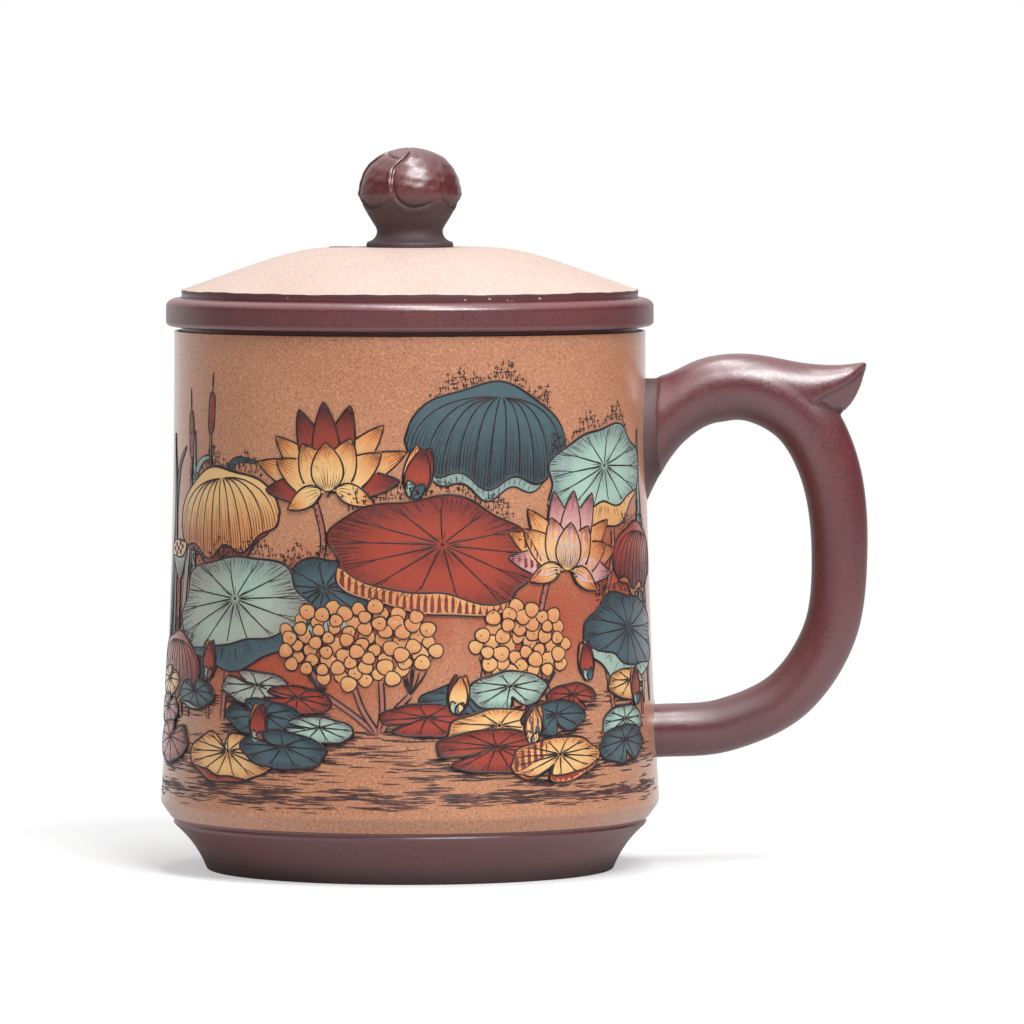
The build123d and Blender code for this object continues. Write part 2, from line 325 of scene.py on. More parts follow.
def share_of(tree, name):
    """The number that set_shares keeps for each vertex under a name."""
    return add(tree, "Attribute", attribute_type="GEOMETRY", attribute_name=name).outputs["Fac"]


def finish_material(tree, colour, roughness, height, bump_distance, bump, **sockets):
    """The shader and its bump, given as a height socket and its distance in metres."""
    normal = add(tree, "Bump", inputs={"Height": height, "Strength": bump, "Distance": bump_distance})
    shader = add(tree, "BsdfPrincipled", inputs={"Base Color": colour, "Roughness": roughness,
                                                 "Normal": normal.outputs["Normal"], **sockets})
    add(tree, "OutputMaterial", inputs={"Surface": shader.outputs["BSDF"]})


U_RADIUS = 42.6  # radius at which surface millimetres round the body are measured
MIST_WARP = 0.007  # how far the edges of the mist wander, in metres
MIST_SPOTS = (
    # centre u, v and spread in u, v, in surface millimetres, with a strength
    (-44.0, 50.0, 16.0, 12.0, 0.8),
    (-24.0, 38.0, 26.0, 14.0, 1.0),
    (-8.0, 47.0, 24.0, 15.0, 1.0),
    (24.0, 45.0, 20.0, 13.0, 0.9),
    (44.0, 52.0, 20.0, 15.0, 1.0),
    (-52.0, 47.0, 16.0, 11.0, 0.7),
    (-150.0, 46.0, 30.0, 14.0, 1.0),
    (-112.0, 52.0, 26.0, 13.0, 1.0),
)


def mist(tree, place):
    """Soft patches of the orange-red wash, as 0 to 1, from the place in the body's own coordinates."""
    warp = add(tree, "TexNoise", inputs={"Vector": place, "Scale": 45.0, "Detail": 2.0}).outputs["Color"]
    shifted = add(tree, "VectorMath", operation="SCALE", inputs={0: warp, "Scale": MIST_WARP}).outputs[0]
    moved = vectors(tree, "ADD", place, shifted)
    total = None
    for u, v, du, dv, strength in MIST_SPOTS:
        angle = u / U_RADIUS
        centre = [c * MM + MIST_WARP / 2 for c in (U_RADIUS * math.sin(angle), -U_RADIUS * math.cos(angle), v)]
        shape = vectors(tree, "DIVIDE", vectors(tree, "SUBTRACT", moved, centre), (du * MM, du * MM, dv * MM))
        spot = remap(tree, length_of(tree, shape), 0.25, 1.15, strength, 0.0)
        total = spot if total is None else maths(tree, "MAXIMUM", total, spot)
    return total


def clay_coat(name, light, mid, dark, mist_share=0.0, speckle=1.0, rough=(0.40, 0.52), grain=1.0, gloss=1.0,
              gloss_rough=0.22):
    """Sandy unglazed clay: a faintly clouded ground full of small pale and dark grains."""
    material, tree, place = new_material(name)
    broad = noise(tree, place, 30.0, 3.0)
    colour = mix(tree, remap(tree, broad, 0.34, 0.66), mid, light)
    grains = noise(tree, place, 2600.0, 2.0, 0.6)
    colour = mix(tree, remap(tree, grains, 0.47, 0.32, 0.0, 0.80 * speckle), colour, dark)
    sand = noise(tree, place, 2300.0, 2.0, 0.6)
    pale = lighter(light, (1.36, 1.34, 1.22), 0.01)
    colour = mix(tree, remap(tree, sand, 0.50, 0.68, 0.0, 0.72 * speckle), colour, pale)
    if mist_share:
        wash = maths(tree, "MULTIPLY", mist(tree, place), mist_share)
        grainy = maths(tree, "MULTIPLY", wash, remap(tree, grains, 0.30, 0.70, 1.0, 0.84))
        colour = mix(tree, grainy, colour, rgb(172, 60, 30))
    height = maths(tree, "ADD", grains, maths(tree, "MULTIPLY", sand, 0.8))
    looks = {"Coat Weight": gloss, "Coat Roughness": gloss_rough, "Sheen Weight": 0.12,
             "Sheen Roughness": 0.25, "Sheen Tint": rgb(252, 240, 248)}
    finish_material(tree, colour, remap(tree, sand, 0.3, 0.7, *rough), height, 0.00006 * grain, 0.5, **looks)
    return material


def dark_clay(name, tones, rough=(0.29, 0.39)):
    """Burnished purple-brown clay: fine grain, reddish clouds, painted shade where a piece asks for it, and a
    satin sheen that the painted shade dulls.
    """
    material, tree, place = new_material(name)
    cloud = noise(tree, place, 52.0, 4.0, 0.55, 0.4)
    colour = mix(tree, remap(tree, cloud, 0.35, 0.66), *tones)
    red = noise(tree, place, 85.0, 3.0, 0.6, 0.6)
    colour = mix(tree, remap(tree, red, 0.55, 0.72, 0.0, 0.55), colour, rgb(110, 50, 46))
    fine = noise(tree, place, 2600.0, 2.0, 0.6)
    colour = mix(tree, remap(tree, fine, 0.46, 0.32, 0.0, 0.6), colour, rgb(66, 36, 41))
    colour = mix(tree, remap(tree, fine, 0.58, 0.74, 0.0, 0.32), colour, rgb(146, 96, 102))
    # Painted shade: the share that a piece keeps takes the clay towards a deep brown and makes it rougher.
    painted_shade = share_of(tree, "painted_shade")
    colour = mix(tree, painted_shade, colour, rgb(42, 20, 23))
    hand = noise(tree, place, 240.0, 3.0, 0.5, 0.3)
    height = maths(tree, "ADD", maths(tree, "MULTIPLY", fine, 0.5), maths(tree, "MULTIPLY", hand, 0.9))
    satin = maths(tree, "ADD", remap(tree, fine, 0.3, 0.7, *rough), remap(tree, cloud, 0.3, 0.7, -0.02, 0.04))
    satin = maths(tree, "ADD", satin, maths(tree, "MULTIPLY", painted_shade, 0.45))
    finish_material(tree, colour, satin, height, 0.00007, 0.6, **{"IOR": 1.64, "Specular IOR Level": 0.85})
    return material


def slip(name, base, wash, deep, mist_share=0.0):
    """Painted slip: an even colour with faint clouds, washed towards a second one by the wash's shares."""
    material, tree, place = new_material(name)
    cloud = noise(tree, place, 260.0, 4.0, 0.6, 0.5)
    colour = mix(tree, remap(tree, cloud, 0.32, 0.68, 0.0, 0.5), base, deep)
    streak = noise(tree, place, 700.0, 3.0, 0.6, 1.2)
    uneven = maths(tree, "MULTIPLY", share_of(tree, "wash"), remap(tree, streak, 0.25, 0.7, 0.75, 1.1))
    colour = mix(tree, uneven, colour, wash)
    if mist_share:
        colour = mix(tree, maths(tree, "MULTIPLY", mist(tree, place), mist_share), colour, rgb(186, 58, 32))
    fine = noise(tree, place, 1300.0, 2.0)
    pale = lighter(base, (1.35, 1.35, 1.35), 0.02)
    colour = mix(tree, remap(tree, fine, 0.58, 0.72, 0.0, 0.25), colour, pale)
    height = maths(tree, "ADD", cloud, maths(tree, "MULTIPLY", fine, 0.4))
    finish_material(tree, colour, remap(tree, cloud, 0.3, 0.7, 0.40, 0.55), height, 0.00008, 0.35,
                    **{"Coat Weight": 0.8, "Coat Roughness": 0.18})
    return material


def ink_material(name, dark, thin):
    """Dark slip of the drawn lines, thinner and browner in places."""
    material, tree, place = new_material(name)
    cloud = noise(tree, place, 420.0, 3.0, 0.6)
    colour = mix(tree, remap(tree, cloud, 0.40, 0.70), dark, thin)
    fine = noise(tree, place, 1500.0, 2.0)
    finish_material(tree, colour, remap(tree, cloud, 0.3, 0.7, 0.45, 0.6), fine, 0.00005, 0.3)
    return material


purple_clay = dark_clay("purple_clay", (rgb(100, 44, 51), rgb(108, 46, 50)))
knob_clay = dark_clay("knob_clay", (rgb(90, 36, 41), rgb(102, 36, 38)), rough=(0.28, 0.40))
sand_slip = clay_coat("sand_slip", rgb(196, 136, 102), rgb(186, 125, 93), rgb(142, 88, 62), mist_share=0.93)
pale_slip = clay_coat("pale_slip", rgb(206, 182, 171), rgb(197, 172, 160), rgb(168, 142, 126),
                      speckle=0.80, rough=(0.55, 0.66), grain=0.8, gloss=0.08, gloss_rough=0.40)
inks = ink_material("ink_slip", rgb(30, 20, 24), rgb(62, 42, 44))
thin_ink = ink_material("thin_ink_slip", rgb(66, 42, 44), rgb(112, 72, 64))
PAINTS = {
    "teal": slip("teal_slip", rgb(76, 100, 108), rgb(44, 58, 66), rgb(64, 86, 96)),
    "celadon": slip("celadon_slip", rgb(176, 208, 192), rgb(116, 132, 132), rgb(158, 192, 180), 0.25),
    "cream": slip("cream_slip", rgb(244, 198, 134), rgb(214, 122, 62), rgb(238, 186, 120), 0.45),
    "brick": slip("brick_slip", rgb(172, 66, 46), rgb(104, 38, 36), rgb(158, 58, 42)),
    "blush": slip("blush_slip", rgb(226, 178, 178), rgb(182, 112, 112), rgb(216, 164, 164)),
    "bare": slip("stem_slip", rgb(190, 120, 104), rgb(130, 70, 62), rgb(180, 108, 92)),
    "line": inks,
    "hatch": inks,
    "ripple": thin_ink,
}


# ------------------------------------------------------------ turned pieces
FOOT_R, FOOT_INNER_R = 35.8, 29.5  # the ring that the mug stands on
RECESS_R, RECESS_Z = 28.7, 2.6  # the hollow under the foot
FLARE_R, FLARE_Z, FLARE_BOW = 41.3, 7.8, 0.6  # where the flare ends, and how far it is hollowed
BEAD_R, BEAD_Z = 41.72, 8.35  # the round bead over the flare
GROOVE_R, GROOVE_Z = 41.45, 8.8  # the groove between bead and coat
FOOT_TOP_R, FOOT_TOP_INNER_R = 41.8, 37.0
JOIN_ANGLE = 48.6  # where on the floor's round corner the wall ends and the foot begins, in degrees


def floor_corner(start, stop, steps):
    """The bore's round lower corner between two angles in degrees, without its first point."""
    return ellipse_arc((BORE_BELLY_R - CORNER_R, CORNER_Z), (CORNER_R, -CORNER_R), start, stop, steps)[1:]


def foot_outline():
    corners = [(0, RECESS_Z, 0), (RECESS_R, RECESS_Z, 0.4), (FOOT_INNER_R, 0, 0.5), (FOOT_R, 0, 0.45)]
    corners += bow((FOOT_R, 0), (FLARE_R, FLARE_Z), FLARE_BOW, 16)
    corners += [(FLARE_R, FLARE_Z, 0.1), (BEAD_R, BEAD_Z, 0.28), (GROOVE_R, GROOVE_Z, 0.2)]
    corners += [(FOOT_TOP_R, FOOT_H, 0.06), (FOOT_TOP_INNER_R, FOOT_H, 0)]
    return rounded(corners + floor_corner(JOIN_ANGLE, 90, 8) + [(0, FLOOR_Z, 0)])


def wall_outline():
    corners = [(BODY_BASE_R - COAT_T, FOOT_H, 0), (BELLY_R - COAT_T, BELLY_Z, 1.4)]
    corners += [(body_r(z) - COAT_T, z, 0) for z in side_z[::-1][1:-1]]
    corners += [(RIM_R - COAT_T, BODY_TOP_Z, 0.05), (NECK_R, BODY_TOP_Z, 0), (NECK_R, RIM_Z, 0.2)]
    corners += [(BORE_R, RIM_Z, 0.5), (BORE_BELLY_R, CORNER_Z, 0)]
    return rounded(corners + floor_corner(0, JOIN_ANGLE, 6))


def coat_outline():
    corners = [(BODY_BASE_R, FOOT_H, 0.22), (BELLY_R, BELLY_Z, 1.6)]
    corners += [(body_r(z), z, 0) for z in side_z[::-1][1:-1]]
    corners += [(RIM_R, BODY_TOP_Z, 0.15), (RIM_R - COAT_T, BODY_TOP_Z, 0)]
    corners += [(body_r(z) - COAT_T, z, 0) for z in side_z[2:-2:3]]
    corners += [(BELLY_R - COAT_T, BELLY_Z, 0.5), (BODY_BASE_R - COAT_T, FOOT_H, 0)]
    return rounded(corners, coarse=1.2)


side_z = np.linspace(BODY_TOP_Z, BELLY_Z, 30)
foot = lathe("foot_ring", foot_outline(), purple_clay, "mug", "purple_clay", ["base_foot"])
# Painted shade: the foot grows darker towards the floor, where it faces down.
paint_shade(foot, lambda p: 0.72 * smoothstep(p[:, 2], 4.6, 0.2))
lathe("wall_ring", wall_outline(), purple_clay, "mug", "purple_clay", ["mug_wall"], steps=256)
lathe("body_slip_coat", coat_outline(), sand_slip, "mug", "sand_slip", ["body_coat"])

SHOULDER_W, SHOULDER_H = 2.4, 1.5  # the collar's round shoulder
UNDERCUT_W, UNDERCUT_H = 1.5, 0.85  # its rounded lower edge
SEAT_R, SEAT_DEPTH = LID_R + 0.12, 0.4  # the shallow seat that the lid's edge stands in


def collar_outline():
    shoulder_z = COLLAR_TOP_Z + SEAT_DEPTH
    corners = [(CUP_INNER_R, RIM_Z, 0)]
    corners += ellipse_arc((COLLAR_R - UNDERCUT_W, RIM_Z + UNDERCUT_H), (UNDERCUT_W, UNDERCUT_H), -90, 0)
    corners += ellipse_arc((COLLAR_R - SHOULDER_W, shoulder_z - SHOULDER_H), (SHOULDER_W, SHOULDER_H), 0, 90)
    corners += [(SEAT_R, shoulder_z - 0.05, 0.08), (SEAT_R, COLLAR_TOP_Z, 0), (CUP_INNER_R, COLLAR_TOP_Z, 0.6)]
    return rounded(corners)


lathe("collar_ring", collar_outline(), purple_clay, "infuser", "purple_clay", ["infuser_collar"])


def smooth_copy(node, name, material, body, slot):
    """A fine-shaded copy of a CAD node that stands for it."""
    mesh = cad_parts[node].data.copy()
    weld(mesh, 2e-6)
    dress(new_object(name, mesh, 32), material, body, slot, [node])


smooth_copy("infuser_wall", "strainer_wall", purple_clay, "infuser", "purple_clay")
smooth_copy("infuser_floor", "strainer_floor", purple_clay, "infuser", "purple_clay")
smooth_copy("lid_skirt", "lid_flange", purple_clay, "lid", "purple_clay")
smooth_copy("lid_shell", "lid_body", purple_clay, "lid", "purple_clay")
smooth_copy("lid_coat", "lid_slip_coat", pale_slip, "lid", "pale_slip")


def lid_edge():
    """The lid's dark edge, which ends unevenly just under the dome's pale coat."""
    low, top = DOME_BASE_Z - LID_COAT_T - 0.1, DOME_BASE_Z + 0.03
    inner, outer = LID_R - 0.3, LID_R + 0.035
    outline = rounded([(inner, low, 0), (outer, low, 0.03), (outer, top, 0.03), (inner, top, 0)])

    def uneven(angle, line):
        wave = 0.05 * math.sin(7 * angle) + 0.04 * math.sin(17 * angle + 1) + 0.03 * math.sin(43 * angle + 2)
        line = line.copy()
        line[:, 1] += wave * (line[:, 1] > (low + top) / 2)
        return line
    ring = lathe("lid_edge_ring", outline, purple_clay, "lid", "purple_clay", steps=512, shift=uneven)
    # Painted shade: the whole edge is made evenly darker.
    paint_shade(ring, lambda p: np.full(len(p), 0.38))


FLECKS = (
    # degrees round from the front, height and size of the drips of pale slip on the lid's dark edge
    (14.3, 100.95, 0.42), (20.6, 101.10, 0.50), (25.4, 100.80, 0.38), (26.6, 100.72, 0.30),
    (34.5, 101.05, 0.55), (-31.0, 101.15, 0.30), (71.0, 101.0, 0.4), (118.0, 100.9, 0.5),
    (166.0, 101.1, 0.4), (231.0, 100.9, 0.45),
)


def slip_flecks():
    """Small drips of the pale slip, as thin lobed discs."""
    heap = Heap()
    w = angles_round(9)
    for degrees, z, size in FLECKS:
        reach = size * (1 + 0.35 * np.sin(3 * w + degrees)) / 2
        angle = math.radians(degrees - 90) + reach * np.cos(w) / LID_R
        height = z + 0.6 * reach * np.sin(w)
        heap.add(*tube([np.stack([radius * np.cos(angle), radius * np.sin(angle), height], 1)
                        for radius in (LID_R + 0.03, LID_R - 0.05)]))
    make_object("lid_slip_flecks", *heap.mesh(), pale_slip, "lid", "pale_slip", smooth_angle=30)


VENT_X, VENT_R, VENT_LIP_W = -12.1, 1.75, 0.42


def vent_lip():
    """The low round lip of the steam hole."""
    inner, outer = VENT_R - 0.02, VENT_R + VENT_LIP_W
    low, crest = DOME_APEX_Z - 0.3, (VENT_R + 0.12, DOME_APEX_Z + 0.14, 0.06)
    corners = [(inner, low, 0), (outer, low, 0), (outer, DOME_APEX_Z + 0.02, 0.02), crest,
               (inner, DOME_APEX_Z + 0.06, 0.03)]
    verts, faces = turned(rounded(corners, fine=0.05), 64)
    make_object("vent_lip", verts + (VENT_X, 0, 0), faces, purple_clay, "lid", "purple_clay", smooth_angle=40)


lid_edge()
slip_flecks()
vent_lip()

# ------------------------------------------------------------ painting tools
# The painting is drawn on the body's skin: u runs round it in millimetres at U_RADIUS, from the front to
# the handle, and v is the height. Patches of slip come first, each over the ones before it, and the
# brush lines of a patch end where a later patch covers them.
SEAM_U = math.pi / 2 * U_RADIUS
FULL_U = 2 * math.pi * U_RADIUS
BACK_U = SEAM_U - FULL_U
CELL = 0.15
V_FLOOR, V_ROOF = 9.0, 95.0
SLIP_T, LAYER_T, INK_T, SUNK = 0.05, 0.034, 0.035, 0.07
RIM_DROP = 0.03  # how much lower the rim of a patch is than its face
MOST_LEVELS = 9
BOX_R = 43.85  # the painting stays inside the belly's radius
rng = np.random.default_rng(11)
shape_map = -np.ones((int((V_ROOF - V_FLOOR) / CELL) + 2, int(FULL_U / CELL) + 2), int)
level_map = np.zeros(shape_map.shape, int)
patches, strokes = [], []


def cell(points):
    """Rows and columns of the maps under points (u, v)."""
    p = np.asarray(points, float)
    rows = np.clip(((p[..., 1] - V_FLOOR) / CELL).astype(int), 0, shape_map.shape[0] - 1)
    cols = np.clip(((p[..., 0] - BACK_U) / CELL).astype(int), 0, shape_map.shape[1] - 1)
    return rows, cols


def spline(points, count, closed=False):
    """Evenly numbered points on a smooth curve through the given ones."""
    p = np.asarray(points, float)
    if closed:
        q, spans = np.vstack([p[-1], p, p[0], p[1]]), len(p)
    else:
        q, spans = np.vstack([2 * p[0] - p[1], p, 2 * p[-1] - p[-2]]), len(p) - 1
    t = np.linspace(0, spans, count, endpoint=not closed)
    i = np.minimum(t.astype(int), spans - 1)
    f = (t - i)[:, None]
    a, b, c, d = q[i], q[i + 1], q[i + 2], q[i + 3]
    return 0.5 * (2 * b + (c - a) * f + (2 * a - 5 * b + 4 * c - d) * f**2 + (3 * b - a - 3 * c + d) * f**3)


def spaced(points, step, closed=False):
    """The same line with points about a step apart."""
    p = np.asarray(points, float)
    if closed:
        p = np.vstack([p, p[:1]])
    run = np.concatenate([[0], np.cumsum(np.linalg.norm(np.diff(p, axis=0), axis=1))])
    count = max(3, int(math.ceil(run[-1] / step)) + 1)
    at = np.linspace(0, run[-1], count)
    line = np.stack([np.interp(at, run, p[:, 0]), np.interp(at, run, p[:, 1])], 1)
    return line[:-1] if closed else line


def inside(outline, points):
    """Whether points lie inside a closed outline."""
    u, v = points[..., 0], points[..., 1]
    hit = np.zeros(u.shape, bool)
    for (u0, v0), (u1, v1) in zip(outline, np.roll(outline, -1, 0)):
        if v0 != v1:
            hit ^= ((v0 > v) != (v1 > v)) & (u < (u1 - u0) * (v - v0) / (v1 - v0) + u0)
    return hit


def paint(outline, colour, wash=0.0, line=None, parts=2, start=0.0):
    """A patch of slip over what is there so far, with a drawn edge; gives the order that its brush lines take.

    wash is the share of the slip's second colour, as one number or as a function of places (u, v).
    """
    order = len(patches)
    if line:
        draw_edge(outline, line, order, parts, start)
    outline = spaced(outline, 0.55, closed=True)
    (r0, c0), (r1, c1) = cell(outline.min(0)), cell(outline.max(0))
    rows, cols = np.mgrid[r0:r1 + 1, c0:c1 + 1]
    centres = np.stack([BACK_U + (cols + 0.5) * CELL, V_FLOOR + (rows + 0.5) * CELL], -1)
    mask = inside(outline, centres)
    levels = level_map[r0:r1 + 1, c0:c1 + 1]
    level = min(MOST_LEVELS, 1 + int(levels[mask].max())) if mask.any() else 1
    levels[mask] = level
    shape_map[r0:r1 + 1, c0:c1 + 1][mask] = order
    patches.append({"outline": outline, "colour": colour, "level": level, "wash": wash})
    return order


def touch(line, width, order, kind="line"):
    """Ink with its width at each point; it belongs to a patch, or to the bare ground at order -1."""
    strokes.append({"line": line, "width": width, "order": order, "kind": kind})


def brush(line, width, order, taper=(0.25, 0.35), kind="line"):
    """A brush line that swells from its start and thins to its end, over the shares in taper."""
    line = spaced(line, 0.75 if kind == "hatch" else 0.64)
    t = np.linspace(0, 1, len(line))
    swell = np.minimum(1, 0.22 + 0.78 * t / taper[0]) * np.minimum(1, 0.18 + 0.82 * (1 - t) / taper[1])
    touch(line, width * swell, order, kind)


def draw_edge(outline, width, order, parts, start):
    """The outline of a patch as a few brush lines whose weight swells and thins."""
    line = spaced(outline, 0.58, closed=True)
    n = len(line)
    first = int(start * n)
    for part in range(parts):
        piece = line[np.arange(first + part * n // parts, first + (part + 1) * n // parts + 1) % n]
        t = np.linspace(0, 1, len(piece))
        weight = 0.62 + 0.38 * np.sin(math.pi * t) + 0.10 * np.sin(9 * t + part * 2.1 + first)
        touch(piece, width * weight, order)


def dot(place, size, order):
    """A round touch of ink."""
    u, v = place
    lean = rng.uniform(-0.3, 0.3)
    line = np.array([(u - size * 0.42, v - lean * size), (u, v), (u + size * 0.42, v + lean * size)])
    touch(line, size * np.array([0.55, 1.0, 0.5]), order)


def placed(u, v, degrees):
    """A function that sets points of a motif's own frame on the body."""
    w = math.radians(degrees)
    c, s = math.cos(w), math.sin(w)

    def here(points):
        p = np.asarray(points, float)
        return np.stack([u + p[..., 0] * c - p[..., 1] * s, v + p[..., 0] * s + p[..., 1] * c], -1)
    return here


def hatch(at, starts, near, far, steps, order, width=0.24, taper=(0.1, 0.9)):
    """Fine strokes of a motif, each from the share near of its way to a random one between those in far."""
    for s in starts:
        brush(at(s, np.linspace(near, rng.uniform(*far), steps)), width, order, taper, "hatch")


# ------------------------------------------------------------ motifs
def petal(u, v, degrees, length, width, colour="cream", bend=0.0, lines=1.0):
    """A pointed petal from its base at (u, v), turned from upright, with strokes from its base and tip."""
    here = placed(u, v, degrees)

    def at(s, t):
        half = width / 2 * (4 * t * (1 - t)) ** 0.72 * (1.22 - 0.44 * t)
        return here(np.stack([s * half + bend * t * t * length, length * (t + 0.035 * t**10)], -1))

    t = np.linspace(0.015, 1, 16)
    outline = np.vstack([at(-1.0, t), at(1.0, t[::-1])[1:]])
    base = at(0.0, 0.0)
    axis = (at(0.0, 1.0) - base) / length**2
    order = paint(outline, colour, lambda p: smoothstep((p - base) @ axis, 0.35, 1.05), 0.40)
    count = max(3, int(width / 0.62 * lines))
    for s in np.linspace(-0.82, 0.82, count):
        reach = rng.uniform(0.28, 0.52) * (1 - 0.35 * abs(s))
        brush(at(s * 0.95, np.linspace(0.06, reach + 0.08, 5)), 0.25, order, (0.1, 0.9), "hatch")
    hatch(at, np.linspace(-0.7, 0.7, max(2, count - 2)), 0.97, (0.66, 0.84), 4, order, 0.23)


def blossom(u, v, size, degrees, inner="brick"):
    """An open lotus: a fan of back petals, a row of side petals and cupped front petals round a pod."""
    here = placed(u, v, degrees)

    def row(angles, length, width, tone="cream", rise=0.0, bend=0.0):
        for a in angles:
            foot = here((0.10 * size * math.sin(-math.radians(a)), rise * size))
            petal(*foot, degrees + a, length * size * rng.uniform(0.94, 1.04), width * size, tone,
                  bend * math.copysign(1, -a) if a else 0.0)
    row((62, -62, 38, -38), 0.98, 0.36, "cream", 0.04, 0.10)
    row((18, -18, 0), 1.05, 0.38, inner, 0.05)
    pod(*here((0, 0.34 * size)), 0.42 * size, degrees)
    row((76, -76), 0.80, 0.34, inner, 0.0, 0.16)
    row((50, -50), 0.80, 0.40, "cream", 0.0, 0.10)
    row((25, -25), 0.72, 0.42)
    row((0,), 0.62, 0.44)
    row((104, -104), 0.52, 0.26, "cream", 0.02, 0.16)
    for _ in range(7):
        dot(here((size * rng.uniform(-0.2, 0.2), -size * 0.08 * rng.random())), 0.5, len(patches))


def bud(u, v, size, degrees, colour="brick"):
    """A closed bud: two outer petals behind a front one, in a small cup of sepals."""
    other = "cream" if colour == "brick" else "brick"
    for lean, length, width, tone, bend in ((9, 0.95, 0.42, other, 0.03), (-9, 0.95, 0.42, colour, -0.03),
                                            (0, 0.90, 0.46, colour, 0.0)):
        petal(u, v, degrees + lean, size * length, size * width, tone, bend)
    for lean, tone in ((26, "celadon"), (-26, "teal")):
        petal(u, v, degrees + lean, size * 0.34, size * 0.20, tone, lines=0.6)


SEED_HOLES = ((0, 0), (-0.55, 0.02), (0.55, 0.02), (-0.28, 0.18), (0.28, 0.18), (-0.28, -0.17), (0.28, -0.17))


def pod(u, v, size, degrees):
    """A seed pod: a ribbed cone with a flat top full of seed holes."""
    here = placed(u, v, degrees)
    half, rise = size / 2, size * 0.62
    cone = spline([(-half, 0), (-half * 0.72, -rise * 0.5), (-half * 0.2, -rise), (half * 0.2, -rise),
                   (half * 0.72, -rise * 0.5), (half, 0), (0, half * 0.25)], 40, True)
    order = paint(here(cone), "celadon", lambda p: smoothstep(v - p[:, 1], -0.2, rise), 0.38)
    for s in np.linspace(-0.8, 0.8, 7):
        rib = [(half * s, -0.08 * size), (half * s * 0.8, -rise * 0.45), (half * s * 0.3, -rise * 0.92)]
        brush(here(spline(rib, 8)), 0.22, order, (0.1, 0.5), "hatch")
    a = angles_round(28)
    top = np.stack([half * np.cos(a) * 1.04, half * 0.36 * np.sin(a) + 0.03 * size * np.cos(3 * a)], 1)
    order = paint(here(top), "cream", line=0.36)
    for x, y in SEED_HOLES:
        dot(here((half * x, half * y)), 0.13 * size, order)


def stem(points, width=1.0, prickles=True):
    """A stalk with an ink line down each side and small prickles."""
    line = spline(points, 30)
    side = across(line) * width / 2
    order = paint(np.vstack([line + side, (line - side)[::-1]]), "bare", 0.35)
    brush(line + side, 0.28, order, (0.05, 0.1))
    brush(line - side, 0.34, order, (0.05, 0.1))
    if prickles:
        length = np.linalg.norm(np.diff(line, axis=0), axis=1).sum()
        for t in np.arange(0.06, 0.97, 1.7 / length):
            i = int(t * 29)
            dot(line[i] + side[i] * rng.uniform(-0.7, 0.7), 0.34, order)


def disc_leaf(u, v, a, b, degrees, colour, lip, waves=0.05, fold=(200, 335), fold_depth=0.34, notch=None,
              seed=0.0, mossy=False, afloat=False):
    """A round leaf seen at a slant: wavy rim, veins from its hub, strokes from the rim, and a turned lip."""
    here = placed(u, v, degrees)
    hub = np.array([0.05 * a, 0.22 * b])

    def rim(w):
        wave = 1 + waves * np.sin(5 * w + seed) + waves * 0.7 * np.sin(8 * w + 2.3 * seed + 1)
        if notch is not None:
            gap = (w - math.radians(notch) + math.pi) % (2 * math.pi) - math.pi
            wave = wave * (1 - 0.72 * np.exp(-(gap / 0.13) ** 2))
        return np.stack([a * wave * np.cos(w), b * wave * np.sin(w)], -1)

    def at(w, share):
        share = np.asarray(share, float)[..., None]
        return here(hub * (1 - share) + rim(w) * share)

    def wash(points):
        local = placed(0, 0, -degrees)(points - (u, v))
        radius = np.hypot(local[:, 0] / a, local[:, 1] / b)
        return 0.75 * smoothstep(radius, 0.45, 1.0) + 0.55 * smoothstep(-radius, -0.35, -0.05)

    outline = here(rim(angles_round(max(40, int(2 * math.pi * a / 0.6)))))
    order = paint(outline, colour, wash, 0.46, 3, 0.1 * seed % 1)
    veins = 13 if a > 9 else 9
    for w in np.arange(veins) * 2 * math.pi / veins + 0.21 * seed:
        share = np.linspace(0.05, 0.97, 7)
        brush(at(w + 0.05 * np.sin(3 * w) * share**2, share), 0.30, order, (0.05, 0.55))
        for side in (-1, 1):
            fork = np.linspace(0.62, 0.97, 4)
            turn = side * 0.10 * (fork - 0.62) / 0.35 * (9 / a) ** 0.5
            brush(at(w + turn, fork), 0.20, order, (0.1, 0.6), "hatch")
    rim_length = math.pi * (a + b)
    for w in angles_round(int(rim_length / 0.62)):
        if rng.random() < 0.9:
            deep = rng.uniform(0.10, 0.40) * (1.0 if math.sin(w) > 0 else 0.75)
            share = np.linspace(0.985, 1 - deep, 4)
            brush(at(w + rng.uniform(-0.02, 0.02), share), 0.24, order, (0.08, 0.9), "hatch")
    hatch(at, angles_round(17), 0.09, (0.2, 0.34), 3, order, taper=(0.1, 0.8))
    dot(at(0.0, 0.0), 0.75, order)
    if fold:
        leaf_lip(at, fold, fold_depth, lip, rim_length, seed)
    if mossy:
        moss(at(np.linspace(0.25 * math.pi, 0.8 * math.pi, 30), np.ones(30) * 1.02), order)
    if afloat:
        water_shadow(u, v, a, b)


def leaf_lip(at, fold, depth, colour, rim_length, seed):
    """The part of a leaf's rim that is turned over, between two angles in degrees."""
    w0, w1 = map(math.radians, fold)
    w = np.linspace(w0, w1, 30)
    t = (w - w0) / (w1 - w0)
    inner = 1 - depth * np.sin(math.pi * t) ** 0.8 * (1 + 0.16 * np.sin(11 * t + seed))
    outline = np.vstack([at(w, np.ones(30) * 1.015), at(w[::-1], inner[::-1])[1:-1]])
    order = paint(outline, colour, 0.25, 0.42)
    for _ in range(int(rim_length * (w1 - w0) / (2 * math.pi) / 0.75)):
        s = rng.random()
        ins = 1 - depth * math.sin(math.pi * s) ** 0.8
        share = np.linspace(ins + 0.02, ins + (1 - ins) * rng.uniform(0.35, 0.75), 3)
        brush(at(w0 + (w1 - w0) * s, share), 0.24, order, (0.1, 0.8), "hatch")


